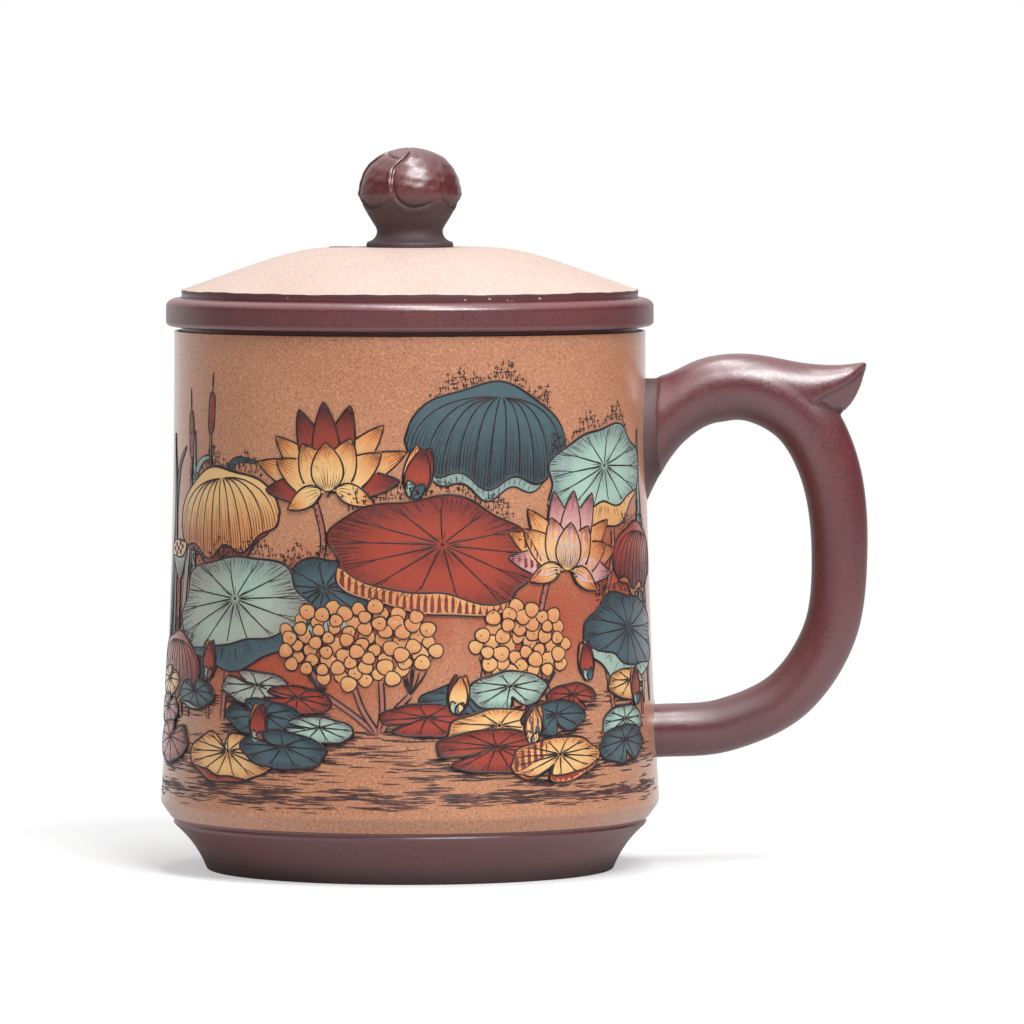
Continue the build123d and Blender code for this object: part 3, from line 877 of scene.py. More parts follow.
def water_shadow(u, v, a, b):
    """Level touches on the water under the near rim of a floating leaf."""
    for _ in range(int(a * 6.5)):
        x = rng.uniform(-0.95, 1.05)
        deep = rng.exponential(0.55)
        middle = np.array((u + a * x, v - b * math.sqrt(1 - min(1, x**2)) + 0.25 - 0.8 * deep))
        long = rng.uniform(0.8, 2.6) * (1 + 0.3 * deep)
        if middle[1] > V_FLOOR + 3.0:
            line = spline([middle - (long, 0), middle + (0, rng.uniform(-0.15, 0.15)), middle + (long, 0)], 7)
            brush(line, rng.uniform(0.22, 0.38), -1, (0.35, 0.45), "line" if deep < 0.6 else "ripple")


def parasol_leaf(u, v, a, rise, drop, degrees, colour, under, seed):
    """A leaf seen from its side: a ribbed, mossy dome with a scalloped hem over a glimpse of its underside."""
    here = placed(u, v, degrees)
    x = np.linspace(-1, 1, 46)
    round_off = 1 - x**2
    crown = rise * round_off**0.55 * (1 + 0.06 * np.sin(6 * x + seed))
    hem = -drop * round_off**0.5 * (1 + 0.20 * np.sin(9.5 * x + 1.7 * seed)) - 0.05 * rise
    under_hem = hem - drop * 0.32 * round_off**0.6
    below = here(np.vstack([np.stack([x * a * 0.9, 0 * x], 1), np.stack([x * a * 0.9, under_hem], 1)[::-1]]))
    low_order = paint(below, under, 0.7, 0.40)
    for s in np.linspace(-0.8, 0.8, int(a * 1.5)):
        i = int((s + 1) / 2 * 45)
        brush(here([(s * a * 0.9, hem[i]), (s * a * 0.84, under_hem[i] * 0.96)]), 0.2, low_order, kind="hatch")
    top = np.array([0.12 * a * math.sin(seed), 0.80 * rise])

    def at(s, t):
        """From the crown's hub to the hem (t 1) at a place s across, in a bowed line."""
        foot = np.array([s * a, np.interp((s + 1) / 2 * 45, np.arange(46), hem)])
        way = np.stack([np.sin(t * math.pi / 2) ** 0.85, 1 - np.cos(t * math.pi / 2) ** 0.9], -1)
        return here(top + (foot - top) * way)

    def wash(points):
        local = placed(0, 0, -degrees)(points - (u, v))
        return smoothstep(-local[:, 1] / rise, -0.6, 0.5) * 0.85

    crest = here(np.stack([x * a, crown], 1))
    outline = np.vstack([crest, here(np.stack([x * a, hem], 1))[::-1][1:-1]])
    order = paint(outline, colour, wash, 0.48, 3, 0.15)
    for s in np.linspace(-0.93, 0.93, 11 if a > 9 else 8):
        brush(at(s, np.linspace(0.04, 1.0, 9)), 0.30, order, (0.05, 0.4))
    hatch(at, np.linspace(-0.97, 0.97, int(a * 3.4)), 0.995, (0.50, 0.86), 4, order)
    hatch(at, np.linspace(-0.9, 0.9, 13), 0.08, (0.22, 0.4), 4, order)
    moss(crest[6:-6], order)


def moss(line, order):
    """Small upright touches in loose tufts along a crest."""
    line = spaced(line, 0.45)
    for i, (u, v) in enumerate(line):
        thick = 0.5 + 0.5 * math.sin(i * 0.30 + line[0, 0])
        for row in range(int(1.5 + 4 * thick)):
            if rng.random() >= 0.86 - 0.10 * row:
                continue
            at = np.array((u + rng.uniform(-0.4, 0.4), v + 0.3 + 0.72 * row + rng.uniform(-0.2, 0.3)))
            high, lean = rng.uniform(0.5, 1.2), rng.uniform(-0.2, 0.2)
            blade_line = [at, at + (lean / 2, high / 2), at + (lean, high)]
            brush(blade_line, rng.uniform(0.26, 0.42), order, (0.3, 0.5), "hatch")
            if rng.random() < 0.55:
                long = rng.uniform(0.35, 0.75)
                middle = at + (lean / 2, high * rng.uniform(0.3, 0.9))
                level_line = [middle - (long, 0.05), middle, middle + (long, -0.05)]
                brush(level_line, rng.uniform(0.22, 0.34), order, (0.4, 0.4), "hatch")


def blade(points, width, colour):
    """A long reed leaf, pointed at both ends, with a rib."""
    line = spline(points, 34)
    t = np.linspace(0, 1, 34)
    side = across(line) * (width / 2 * np.sin(math.pi * t**0.7) ** 0.7 + 0.06)[:, None]
    order = paint(np.vstack([line + side, (line - side)[::-1]]), colour, 0.4, 0.30)
    brush(line[3:-3], 0.18, order, kind="hatch")


def cattail(u, v, length, degrees):
    """A reed mace on its thin stalk."""
    here = placed(u, v, degrees)
    foot, low = here((0, -length / 2)), 28.0
    stem([foot, foot + (0.4, -(foot[1] - low) * 0.5), (foot[0] + 1.2, low)], width=0.6, prickles=False)
    brush(here([(0, length / 2), (0, length * 0.95)]), 0.4, len(patches))
    a = angles_round(30)
    body = np.stack([0.95 * np.cos(a), length / 2 * np.sign(np.sin(a)) * np.abs(np.sin(a)) ** 0.6], 1)
    order = paint(here(body), "brick", lambda p: smoothstep(u - p[:, 0], -0.9, 0.9), 0.34)
    for _ in range(14):
        x, y = rng.uniform(-0.6, 0.7), rng.uniform(-0.42, 0.42) * length
        brush(here([(x, y), (x, y + 0.5)]), 0.18, order, kind="hatch")


def umbel(u, v, width, height, count, foot):
    """A cloud of small round florets on forked stalks that rise from one foot."""
    golden = math.pi * (3 - math.sqrt(5))
    spots = []
    for k in range(count):
        reach = math.sqrt((k + 0.5) / count) / 2
        spots.append((u + width * reach * math.cos(k * golden), v + height * reach * math.sin(k * golden)))
    forks = [(foot[0] + (u - foot[0]) * 0.5 + width * s * 0.26,
              foot[1] + (v - foot[1]) * (0.52 + 0.10 * math.cos(3 * s))) for s in (-1, -0.33, 0.33, 1)]
    for n, fork in enumerate(forks):
        knee = ((foot[0] + fork[0]) / 2 + 0.5 * (-1) ** n, foot[1] * 0.55 + fork[1] * 0.45)
        root = (foot[0] + 0.5 * (n - 1.5), foot[1])
        stem([root, knee, fork], width=0.85, prickles=False)
    for spot in spots[::2]:
        fork = min(forks, key=lambda f: abs(f[0] - spot[0]) + 0.2 * abs(f[1] - spot[1]))
        middle = (fork[0] * 0.45 + spot[0] * 0.55, fork[1] * 0.5 + spot[1] * 0.5 - 0.4)
        brush(spline([fork, middle, spot], 8), 0.34, len(patches) - 1, (0.02, 0.6))
    a = angles_round(18)
    for k in rng.permutation(count):
        x, y = spots[k]
        r = rng.uniform(1.12, 1.5)
        wobble = 1 + 0.06 * np.sin(3 * a + k)
        outline = np.stack([x + r * wobble * np.cos(a), y + r * 0.93 * wobble * np.sin(a)], 1)
        order = paint(outline, "cream", lambda p, y=y: 0.6 * smoothstep(y - p[:, 1], -0.2, 1.4), 0.30, 1,
                      rng.random())
        if k % 3 == 0:
            dot((x + rng.uniform(-0.4, 0.4), y + rng.uniform(-0.4, 0.4)), 0.30, order)


def ripples(u, v, width, height, count):
    """Level touches of thin ink on the water, closer together near the middle."""
    for _ in range(count):
        du, dv = rng.normal(0, 0.30) * width, rng.normal(0, 0.30) * height
        long = rng.uniform(2.2, 7.5) * (1 - 0.4 * min(1, abs(dv) / height))
        x, y = u + du, v + dv
        if V_FLOOR + 3.4 < y:
            line = spline([(x - long / 2, y), (x, y + rng.uniform(-0.22, 0.22)),
                           (x + long / 2, y + rng.uniform(-0.15, 0.15))], 9)
            brush(line, rng.uniform(0.20, 0.36), -1, (0.4, 0.5), "ripple")


# ------------------------------------------------------------ the lotus pond
def pond_front():
    """What the front shows: leaves and blossoms over the mist, and floating leaves on the water below."""
    for u0, lean in ((-60, 3), (-56, -1), (-52, 4), (-47, 0), (-43, 5), (58, -3), (54, 0)):
        blade([(u0, 30), (u0 + lean * 0.4, 50), (u0 + lean * 1.4, 66 + abs(lean)),
               (u0 + lean * 3.0, 78 - abs(lean))], 1.6, "teal" if lean % 2 else "celadon")
    cattail(-48.5, 77, 8.5, 3)
    cattail(-41, 81, 7.5, -4)
    stem([(12, 30), (15, 48), (12, 62), (15, 76)])
    stem([(-14, 30), (-19, 46), (-15, 58), (-17, 68)])
    stem([(42, 28), (39, 44), (43, 58), (40, 70)])
    stem([(-36, 28), (-35, 44), (-38, 58), (-38, 62)])
    parasol_leaf(15, 76, 15.5, 10.5, 6.0, -4, "teal", "celadon", 1.0)
    disc_leaf(40, 70, 14, 8.5, 8, "celadon", "cream", seed=2.0, fold=(195, 330), mossy=True)
    parasol_leaf(-38, 63, 14.5, 8.5, 5.5, 6, "cream", "brick", 2.4)
    blossom(-14, 68, 13.5, 4)
    bud(1, 67, 9.5, -12)
    disc_leaf(-15, 50, 11, 6.5, 10, "teal", "celadon", seed=5.2, fold=(200, 300), mossy=True)
    stem([(26, 30), (24, 44), (27, 56)])
    stem([(53, 28), (52, 44), (51, 58)], width=0.8)
    parasol_leaf(52, 55, 9.5, 6.5, 4.0, -6, "brick", "cream", 1.8)
    disc_leaf(5, 57, 19, 10.0, -5, "brick", "cream", seed=0.7, fold=(200, 320), fold_depth=0.28, mossy=True)
    disc_leaf(-34, 47, 16.5, 9.5, 5, "celadon", "teal", seed=3.1, fold=(215, 345), mossy=True)
    blossom(30, 54, 13, -8, inner="blush")
    umbel(-9, 42, 29, 14, 72, (-5, 27))
    umbel(21, 42, 19, 13, 42, (19, 28))
    disc_leaf(47, 42, 13, 7.5, -6, "teal", "celadon", seed=4.0, fold=(190, 330), mossy=True)
    pod(-54, 57, 8.5, 8)
    stem([(-53.3, 52), (-53, 40), (-50, 28)], width=0.9)
    parasol_leaf(-53, 36, 10, 6.5, 4.0, 0, "brick", "cream", 0.4)
    pond_water(-62, 62, 21)


def pond_water(left, right, seed):
    """Floating leaves in overlapping rows, with small buds between them and ripples round them."""
    tones = (("teal", "celadon"), ("cream", "brick"), ("brick", "cream"), ("celadon", "teal"))
    span = right - left
    for k in range(int(span / 7)):
        ripples(left + 3.5 + k * 7.0, 22 + 2.2 * math.sin(k * 1.7 + seed), 10, 6, 20)
        ripples(left + 3.5 + k * 7.0, 15.4 + 0.8 * math.sin(k * 2.9), 9, 2.6, 20 + 8 * (k % 3))
    rows = ((33.0, 12.5, 0), (28.0, 14.0, 5), (22.6, 16.5, 1))
    for v, pitch, first in rows:
        for k in range(int(span / pitch)):
            u = left + pitch * (k + 0.5) + 2.6 * math.sin(seed + k * 2.1 + v)
            if math.sin(seed * 1.3 + k * 2.7 + v) > 0.90:
                continue
            colour, lip = tones[(k * 3 + first + seed) % 4]
            a = pitch * (0.54 + 0.09 * math.sin(k * 1.9 + v + seed))
            b = a * (0.40 + 0.04 * math.cos(k))
            fold = (205, 250 + 50 * (k % 3)) if k % 2 else None
            disc_leaf(u, v + 0.9 * math.sin(3.0 * k + seed), a, b, 4 * math.sin(k + seed), colour, lip,
                      0.03, fold, 0.22, 60 + 37 * k, 0.9 * k + v, afloat=True)
            if k % 3 == 1:
                bud(u + a * 0.7, v + 2.0, 7.0, -8 + 5 * k % 20, "brick" if k % 2 else "cream")


def pond_back():
    """What the far side shows, in another order."""
    middle = BACK_U + FULL_U / 4
    for u0, lean in ((46, -3), (50, 1), (55, -4), (-52, 3), (-57, -2)):
        blade([(middle + u0, 30), (middle + u0 + lean * 0.4, 50), (middle + u0 + lean * 1.4, 72),
               (middle + u0 + lean * 3.2, 80)], 1.5, "celadon" if lean % 2 else "teal")
    cattail(middle + 44, 77, 8.5, -3)
    stem([(middle - 24, 30), (middle - 22, 50), (middle - 26, 74)])
    stem([(middle + 22, 30), (middle + 25, 46), (middle + 22, 62), (middle + 25, 73)])
    stem([(middle + 2, 30), (middle - 1, 48), (middle + 3, 66)])
    disc_leaf(middle - 26, 73, 14, 7.5, -7, "teal", "celadon", seed=1.4, mossy=True)
    parasol_leaf(middle + 26, 74, 13, 8.5, 5.0, 5, "celadon", "teal", 0.6)
    blossom(middle + 3, 66, 13, -5, inner="blush")
    pod(middle - 46, 68, 8, 10)
    stem([(middle - 45, 63), (middle - 46, 46), (middle - 43, 30)], width=0.9)
    stem([(middle + 40, 28), (middle + 42, 42), (middle + 38, 54)])
    parasol_leaf(middle - 18, 55, 15, 7.5, 5.0, 3, "brick", "cream", 2.0)
    disc_leaf(middle + 18, 52, 16, 8.5, 6, "cream", "brick", seed=2.2, fold=(190, 320), mossy=True)
    blossom(middle + 43, 54, 11, 8)
    umbel(middle - 2, 41, 26, 13, 58, (middle, 27))
    disc_leaf(middle - 36, 44, 14, 7.5, 4, "celadon", "teal", seed=5.0)
    disc_leaf(middle + 34, 40, 12, 6.0, -5, "brick", "cream", seed=0.3)
    bud(middle - 52, 52, 8, 12)
    stem([(middle - 52, 52), (middle - 54, 40), (middle - 51, 28)], width=0.8)
    pond_water(middle - 62, middle + 64, 34)


# ------------------------------------------------------------ painting to meshes
def on_body(points, height):
    """Places in millimetres of points (u, v) at a height over the skin, held inside the belly's radius."""
    radius = np.minimum(body_r(points[:, 1]) + height, BOX_R)
    angle = points[:, 0] / U_RADIUS
    return np.stack([radius * np.sin(angle), -radius * np.cos(angle), points[:, 1]], 1)


def layer_height(level):
    return np.where(np.asarray(level) > 0, SLIP_T + LAYER_T * np.asarray(level), 0.0)


def patch_mesh(patch):
    """Closed mesh of one patch: a rounded rim, a filled face and the same fill sunk in the coat."""
    outline = patch["outline"]
    u, v = outline.T
    if np.sum(u * np.roll(v, -1) - np.roll(u, -1) * v) < 0:  # the outline runs clockwise
        outline = outline[::-1]
    inset = outline + across(outline, closed=True) * 0.13
    low, high = outline.min(0), outline.max(0)
    grid = np.stack(np.meshgrid(*(np.arange(a + 0.6, b, 1.2) for a, b in zip(low, high))), -1)
    inner = np.vstack([inset, grid.reshape(-1, 2)])
    inner = inner[inside(outline, inner)]
    far = np.sqrt(((inner[:, None, :] - outline[None]) ** 2).sum(-1)).min(1)
    n = len(outline)
    flat = np.vstack([outline, inner[far > 0.10]])
    loop = [(i, (i + 1) % n) for i in range(n)]
    got, _, faces, *_ = delaunay_2d_cdt([Vector(p) for p in flat], loop, [list(range(n))], 1, 1e-6)
    got = np.array([p[:] for p in got])
    m = len(got)
    edges = [(a, b) for face in faces for a, b in zip(face, face[1:] + face[:1])]
    paired = set(edges)
    border = [(a, b) for a, b in edges if (b, a) not in paired]
    height = np.full(m, layer_height(patch["level"]))
    height[np.unique(border)] -= RIM_DROP
    verts = np.vstack([on_body(got, height), on_body(got, np.full(m, -SUNK))])
    walls = [(b, a, a + m, b + m) for a, b in border]
    faces = [tuple(f) for f in faces] + [tuple(i + m for i in reversed(f)) for f in faces] + walls
    wash = patch["wash"](got) if callable(patch["wash"]) else np.full(m, patch["wash"])
    return verts, faces, np.tile(np.clip(wash, 0, 1), 2)


# Sections of a brush line: places across it in widths, and heights over its ground in millimetres
LINE_SECTION = ((0.5, -1), (0.42, INK_T * 0.75), (0.0, INK_T), (-0.42, INK_T * 0.75), (-0.5, -1))
HATCH_SECTION = ((0.5, -0.012), (0.0, INK_T * 0.7), (-0.5, -0.012))


def bead_mesh(line, width, ground, kind):
    """Closed mesh of a brush line: a low rounded bead over its ground, thin at its ends."""
    side = across(line)
    rows = [on_body(line + side * (width * w)[:, None], np.maximum(ground + up, -SUNK))
            for w, up in (HATCH_SECTION if kind == "hatch" else LINE_SECTION)]
    return tube(np.stack(rows, 1))


def visible_runs(stroke):
    """The stretches of a brush line that no later patch covers."""
    seen = shape_map[cell(stroke["line"])] <= stroke["order"]
    turns = np.flatnonzero(np.diff(np.concatenate([[0], seen, [0]])))
    return [(a, b) for a, b in zip(turns[::2], turns[1::2]) if b - a >= 2]


def side_of(line):
    return "front" if line[:, 0].mean() > -SEAM_U else "back"


def painting_meshes():
    """One piece for each colour and kind of line, on the front and on the back."""
    heaps = defaultdict(Heap)
    for patch in patches:
        heaps[patch["colour"], side_of(patch["outline"])].add(*patch_mesh(patch))
    for stroke in strokes:
        kind, order = stroke["kind"], stroke["order"]
        own = patches[order]["level"] if kind != "hatch" and order >= 0 else 0
        for a, b in visible_runs(stroke):
            line = stroke["line"][a:b]
            ground = layer_height(np.maximum(own, level_map[cell(line)]))
            heaps[kind, side_of(line)].add(*bead_mesh(line, stroke["width"][a:b], ground, kind))
    for (kind, face_side), heap in heaps.items():
        name = "painted_" + kind + "_" + face_side
        obj = make_object(name, *heap.mesh(), PAINTS[kind], "mug", "sand_slip")
        set_shares(obj, "wash", np.concatenate(heap.wash))


# ------------------------------------------------------------ knob
BUD_R, BUD_WAIST_Z, BUD_TIP_Z = 8.56, 118.6, 126.75
PETAL_MID_Z, PETAL_LOW = 121.4, 4.9  # where a petal is widest, and how far its round foot reaches below
PETAL_LEFT, PETAL_RIGHT = math.radians(25.5), math.radians(42.0)  # how far a petal reaches to each side
GROOVES = (0.55, 0.9, 1.0, 0.7, 1.0, 0.0)  # how deep the fold at each petal's left side is, from PETAL_TURN on


def knob_profile():
    """The knob's outline before carving: spigot, flange, waist, flared cup and domed bud."""
    low = [(0, 108.9), (3, 108.9), (6, 108.9), (6, 109.3), (7.0, 109.3), (7.45, 109.3), (7.62, 109.36),
           (7.67, 109.5), (7.62, 109.9), (7.5, 110.15), (7.28, 110.3)]
    neck = spline([(7.28, 110.3), (6.75, 110.5), (6.2, 110.95), (5.86, 111.6), (5.80, 112.25), (6.02, 112.85),
                   (6.70, 113.95), (7.55, 115.4), (8.18, 116.8), (8.44, 117.8), (BUD_R, BUD_WAIST_Z)], 72)[1:]
    w = np.linspace(0, math.pi / 2, 84)[1:]
    dome = np.stack([BUD_R * np.cos(w) ** 0.93, BUD_WAIST_Z + (BUD_TIP_Z - BUD_WAIST_Z) * np.sin(w)], 1)
    dome[-1, 0] = 0.0
    return np.vstack([low, neck, dome])


TUCK_ANGLE, TUCK_Z, TUCK_LEAN = math.radians(226.0), 125.4, -0.55  # a short fold at the top, on the left


def petal_relief(angle, z):
    """How far the carving stands out: cupped petals, a fold at each left side, and a lip round the fold."""
    carved = np.zeros_like(angle)
    cover = np.full_like(angle, -9.0)
    for k, depth in enumerate(GROOVES):
        off = (angle - PETAL_TURN - k * math.pi / 3 + math.pi) % (2 * math.pi) - math.pi
        off = off - 0.38 * smoothstep(z, 122.6, 126.3)
        below = np.clip((PETAL_MID_Z - z) / PETAL_LOW, 0, 2)
        span = np.hypot(np.where(off < 0, off / PETAL_LEFT, off / PETAL_RIGHT), below)
        inward = (1 - span) * 4.0  # distance inside the petal's edge in millimetres, about
        cover = np.maximum(cover, inward)
        side = smoothstep(-off, -0.20, 0.25) * smoothstep(z, 126.5, 125.6)
        foot = smoothstep(below, 0.45, 0.9) * (0.25 + 0.75 * smoothstep(-off, -0.55, -0.10)) * max(depth, 0.6)
        share = np.maximum(side * depth, foot)
        carved -= 0.42 * share * np.exp(-((inward / 0.19) ** 2))
        carved += 0.26 * share * np.exp(-(((inward + 0.72) / 0.45) ** 2))
    bulge = 0.30 * (1 - np.exp(-np.clip(cover, 0, None) / 0.30)) * smoothstep(z, 126.6, 124.5)
    tuck = ((angle - TUCK_ANGLE - TUCK_LEAN * (z - TUCK_Z)) / 0.07) ** 2
    carved -= 0.30 * np.exp(-tuck) * smoothstep(np.abs(z - TUCK_Z), 1.1, 0.5)
    brim = 0.34 * np.exp(-np.abs(z - BUD_WAIST_Z) / 0.8) * np.cos(angle) ** 2
    dents = 0.048 * np.sin(9 * angle + 1.4 * z) * np.sin(2.2 * z - 4 * angle)
    dents = dents + 0.016 * np.sin(17 * angle - 3.1 * z)
    return carved + bulge + brim + dents


def knob_mesh():
    """The turned profile with its carving, which stands out across the profile."""
    around = 264
    profile = knob_profile()
    angle, row = np.meshgrid(angles_round(around), np.arange(len(profile)))
    r, z = profile[row, 0], profile[row, 1]
    inward = across(profile)[row]
    relief = petal_relief(angle, z) * smoothstep(z, 114.0, 116.4) * smoothstep(r, 0.0, 0.9)
    radius = np.maximum(r - relief * inward[..., 0], 0)
    height = z - relief * inward[..., 1]
    verts = np.stack([radius * np.cos(angle), radius * np.sin(angle), height], 2).reshape(-1, 3)
    return verts, bands(len(profile), around)


knob = make_object("knob_carved", *knob_mesh(), knob_clay, "lid", "purple_clay",
                   ["knob_base", "knob_bud", "knob_petals"])
weld(knob.data, 2e-6)
# Painted shade: the knob's neck and the cup under the bud grow darker downwards.
paint_shade(knob, lambda p: 0.80 * smoothstep(p[:, 2], 119.6, 116.0))

# ------------------------------------------------------------ handle
HANDLE_LINE = (
    # the arm's middle line from the upper root to the lower one, in shares of its reach and rise
    (-0.14, 0.825), (0.07, 0.907), (0.17, 0.955), (0.315, 0.990), (0.56, 0.995), (0.808, 0.913),
    (0.955, 0.748), (1.0, 0.525), (0.952, 0.290), (0.74, 0.106), (0.41, 0.016), (0.09, 0.0), (-0.10, 0.0),
)
HANDLE_LOW_Z, HANDLE_REACH, HANDLE_RISE = 24.2, 34.2, 60.5
ARM_THICK, CROWN_THICKER = 9.4, 2.3  # thickness of the arm, and how much it swells at its crown
ARM_WIDE, CROWN_WIDER = 9.8, 2.2  # the same for its width
ROOT_WIDE, ROOT_FLARE = 11.0, 3.4  # width where the root begins, and how much it flares to the wall
SPUR = (
    # distance out; heights of its ridge, of its side edge and of its keel; half width at the edge
    (49.0, 88.7, 83.4, 80.0, 5.10),
    (52.0, 89.95, 84.0, 80.5, 5.25),
    (55.5, 90.55, 84.4, 80.5, 5.28),
    (58.5, 90.65, 84.3, 80.0, 5.22),
    (61.5, 90.4, 83.9, 79.5, 5.15),
    (64.5, 89.9, 83.2, 79.0, 5.06),
    (67.5, 89.3, 82.45, 78.6, 4.85),
    (70.4, 88.85, 82.35, 78.8, 4.45),
    (73.2, 88.62, 83.7, 79.0, 3.95),
    (75.7, 88.62, 84.9, 79.9, 3.3),
    (77.7, 88.80, 86.3, 81.9, 2.5),
    (79.0, 88.98, 87.55, 84.2, 1.55),
    (79.9, 89.05, 88.5, 86.9, 0.7),
    (80.3, 88.95, 88.75, 88.3, 0.2),
)
ROOT = (
    # distance out; heights of the arm's top and of its underside, near the wall
    (38.0, 86.6, 57.0),
    (41.5, 86.5, 64.0),
    (43.1, 86.5, 67.4),
    (45.3, 87.1, 71.4),
    (47.5, 88.1, 74.3),
    (49.7, 89.2, 76.3),
    (51.9, 89.95, 77.7),
    (54.1, 90.35, 78.45),
    (57.0, 90.4, 78.65),
)
ROOT_END = 55.5
# The line (x, z) on which the spur's keel meets the arm
SPUR_VALLEY = ((69.6, 82.5), (71.4, 81.7), (73.2, 81.3), (74.7, 80.9), (76.8, 80.3))
STUB_OUT, STUB_STEP = 2.4, 0.22  # how far the upper root's luted band stands out, and how much slimmer it is
STUB_MIDDLE_Z = 78.2
LOOP_MIDDLE, LOOP_HALF = (55.5, 54.0), (14.6, 24.5)  # the opening of the loop, as an ellipse (x, z)
SEATED = 0.35  # how far the handle's roots reach into the coat


def arm_sections():
    """Rounded sections of the arm: upright ones at its flared root, then ones across its line."""
    a = angles_round(72)
    cross, up = np.cos(a), np.sin(a)
    root = np.array(ROOT)
    outs = np.linspace(root[0, 0], ROOT_END, 48)
    tops, lows = (np.interp(outs, *spline(root[:, (0, column)], 200).T) for column in (1, 2))
    rings = []
    for x, top, low in zip(outs, tops, lows):
        wide = ROOT_WIDE + ROOT_FLARE * ((ROOT_END - x) / (ROOT_END - RIM_R)) ** 2
        rings.append(np.stack([np.full(72, x), wide / 2 * cross, (top + low) / 2 + (top - low) / 2 * up], 1))
    line = spline(np.array(HANDLE_LINE) * (HANDLE_REACH, HANDLE_RISE) + (RIM_R, HANDLE_LOW_Z), 170)
    run = np.concatenate([[0], np.cumsum(np.linalg.norm(np.diff(line, axis=0), axis=1))])
    first = int(np.argmax(line[:, 0] > ROOT_END + 0.3))
    for point, normal, t in list(zip(line, across(line), run / run[-1]))[first:]:
        thick = ARM_THICK + CROWN_THICKER * math.exp(-(max(0, t - 0.22) / 0.24) ** 2)
        wide = ARM_WIDE + CROWN_WIDER * (1 - t) ** 3
        x, z = point[0] + normal[0] * thick / 2 * up, point[1] + normal[1] * thick / 2 * up
        rings.append(np.stack([x, wide / 2 * cross, z], 1))
    return rings


def spur_sections():
    """Sections of the thumb spur: a full arch over a hollowed keel, which meet in a sharp side edge."""
    spur = np.array(SPUR)
    outs = np.linspace(spur[0, 0], spur[-1, 0], 90)
    measures = [np.interp(outs, *spline(spur[:, (0, column)], 200).T) for column in (1, 2, 3, 4)]
    w = np.linspace(0, math.pi, 41)
    t = np.linspace(-1, 1, 25)[1:-1]
    rings = []
    for x, top, side, low, wide in zip(outs, *measures):
        arch = np.stack([np.full(41, x), wide * np.cos(w), side + (top - side) * np.sin(w) ** 0.85], 1)
        under = np.stack([np.full(23, x), wide * t, side - (side - low) * (1 - np.abs(t) ** 1.25)], 1)
        rings.append(np.vstack([arch, under]))
    return rings


def off_line(x, z, line):
    """Distance of places (x, z) above a line, negative below it."""
    gap = np.stack([x, z], 1)[:, None] - line[None]
    nearest = np.argmin((gap**2).sum(-1), 1)
    slope = np.gradient(line, axis=0)[nearest]
    gap = gap[np.arange(len(x)), nearest]
    return (slope[:, 0] * gap[:, 1] - slope[:, 1] * gap[:, 0]) / np.hypot(*slope.T)


def spur_lines(x, z):
    """Shares of the groove under the spur's side edge, and of groove and shade where its keel meets the arm."""
    under_edge, valley, shade = np.zeros((3, len(x)))
    near = (x > 68.5) & (z > 76.0)
    x, z = x[near], z[near]
    ridge = off_line(x, z, spline(np.array(SPUR)[6:, (0, 2)], 90)) + 0.30
    under_edge[near] = np.exp(-((ridge / 0.28) ** 2)) * smoothstep(x, 70.2, 72.6) * smoothstep(x, 80.3, 79.0)
    keel = off_line(x, z, spline(SPUR_VALLEY, 60))
    inside_range = smoothstep(x, 69.8, 71.4) * smoothstep(x, 77.6, 76.9)
    valley[near] = np.exp(-((keel / 0.28) ** 2)) * inside_range
    shade[near] = smoothstep(keel, -3.5, -0.1) * (keel < 0.0) * inside_range
    return under_edge, valley, shade


def handle_painted_shade(p):
    """Painted shade: darker on the luted band at the upper root, round the inside of the loop and along the
    spur's lines.
    """
    x, y, z = p.T
    band = smoothstep(np.hypot(x, y) - body_r(z), STUB_OUT + 0.15, STUB_OUT - 0.15) * smoothstep(z, 66, 72)
    loop = np.hypot((x - LOOP_MIDDLE[0]) / LOOP_HALF[0], (z - LOOP_MIDDLE[1]) / LOOP_HALF[1])
    under_edge, valley, shade = spur_lines(x, z)
    lines = 0.50 * under_edge + 0.60 * valley + 0.32 * shade
    return np.maximum(0.62 * band + 0.30 * smoothstep(loop, 1.30, 1.04), lines)


def add_ease(obj, rounds, share=None):
    """Adds a smoothing of the mesh, by a share at each vertex where one is given."""
    ease = obj.modifiers.new("ease", "SMOOTH")
    ease.factor, ease.iterations = 0.5, rounds
    if share is not None:
        group = obj.vertex_groups.new(name="ease")
        for i in np.nonzero(share > 0.02)[0]:
            group.add([int(i)], float(share[i]), "REPLACE")
        ease.vertex_group = group.name


def seated(skin, outward):
    """The handle's skin after its carving, its luted band and its fit against the body."""
    under_edge, valley, _ = spur_lines(skin[:, 0], skin[:, 2])
    carved = (0.22 * under_edge + 0.26 * valley) * smoothstep(np.abs(outward[:, 1]), 0.15, 0.5)
    x, y, z = (skin - outward * carved[:, None]).T
    radius = np.hypot(x, y)
    wall = body_r(np.clip(z, BELLY_Z, BODY_TOP_Z))
    stub = smoothstep(radius - wall, STUB_OUT + 0.12, STUB_OUT - 0.12) * smoothstep(z, 55, 60)
    far = np.hypot(y, z - STUB_MIDDLE_Z)
    y = y * (1 - stub * STUB_STEP / far)
    z = z - (z - STUB_MIDDLE_Z) * stub * STUB_STEP / far
    push = np.maximum((wall - SEATED) / radius, 1.0)
    return np.stack([x * push, y * push, z], 1)


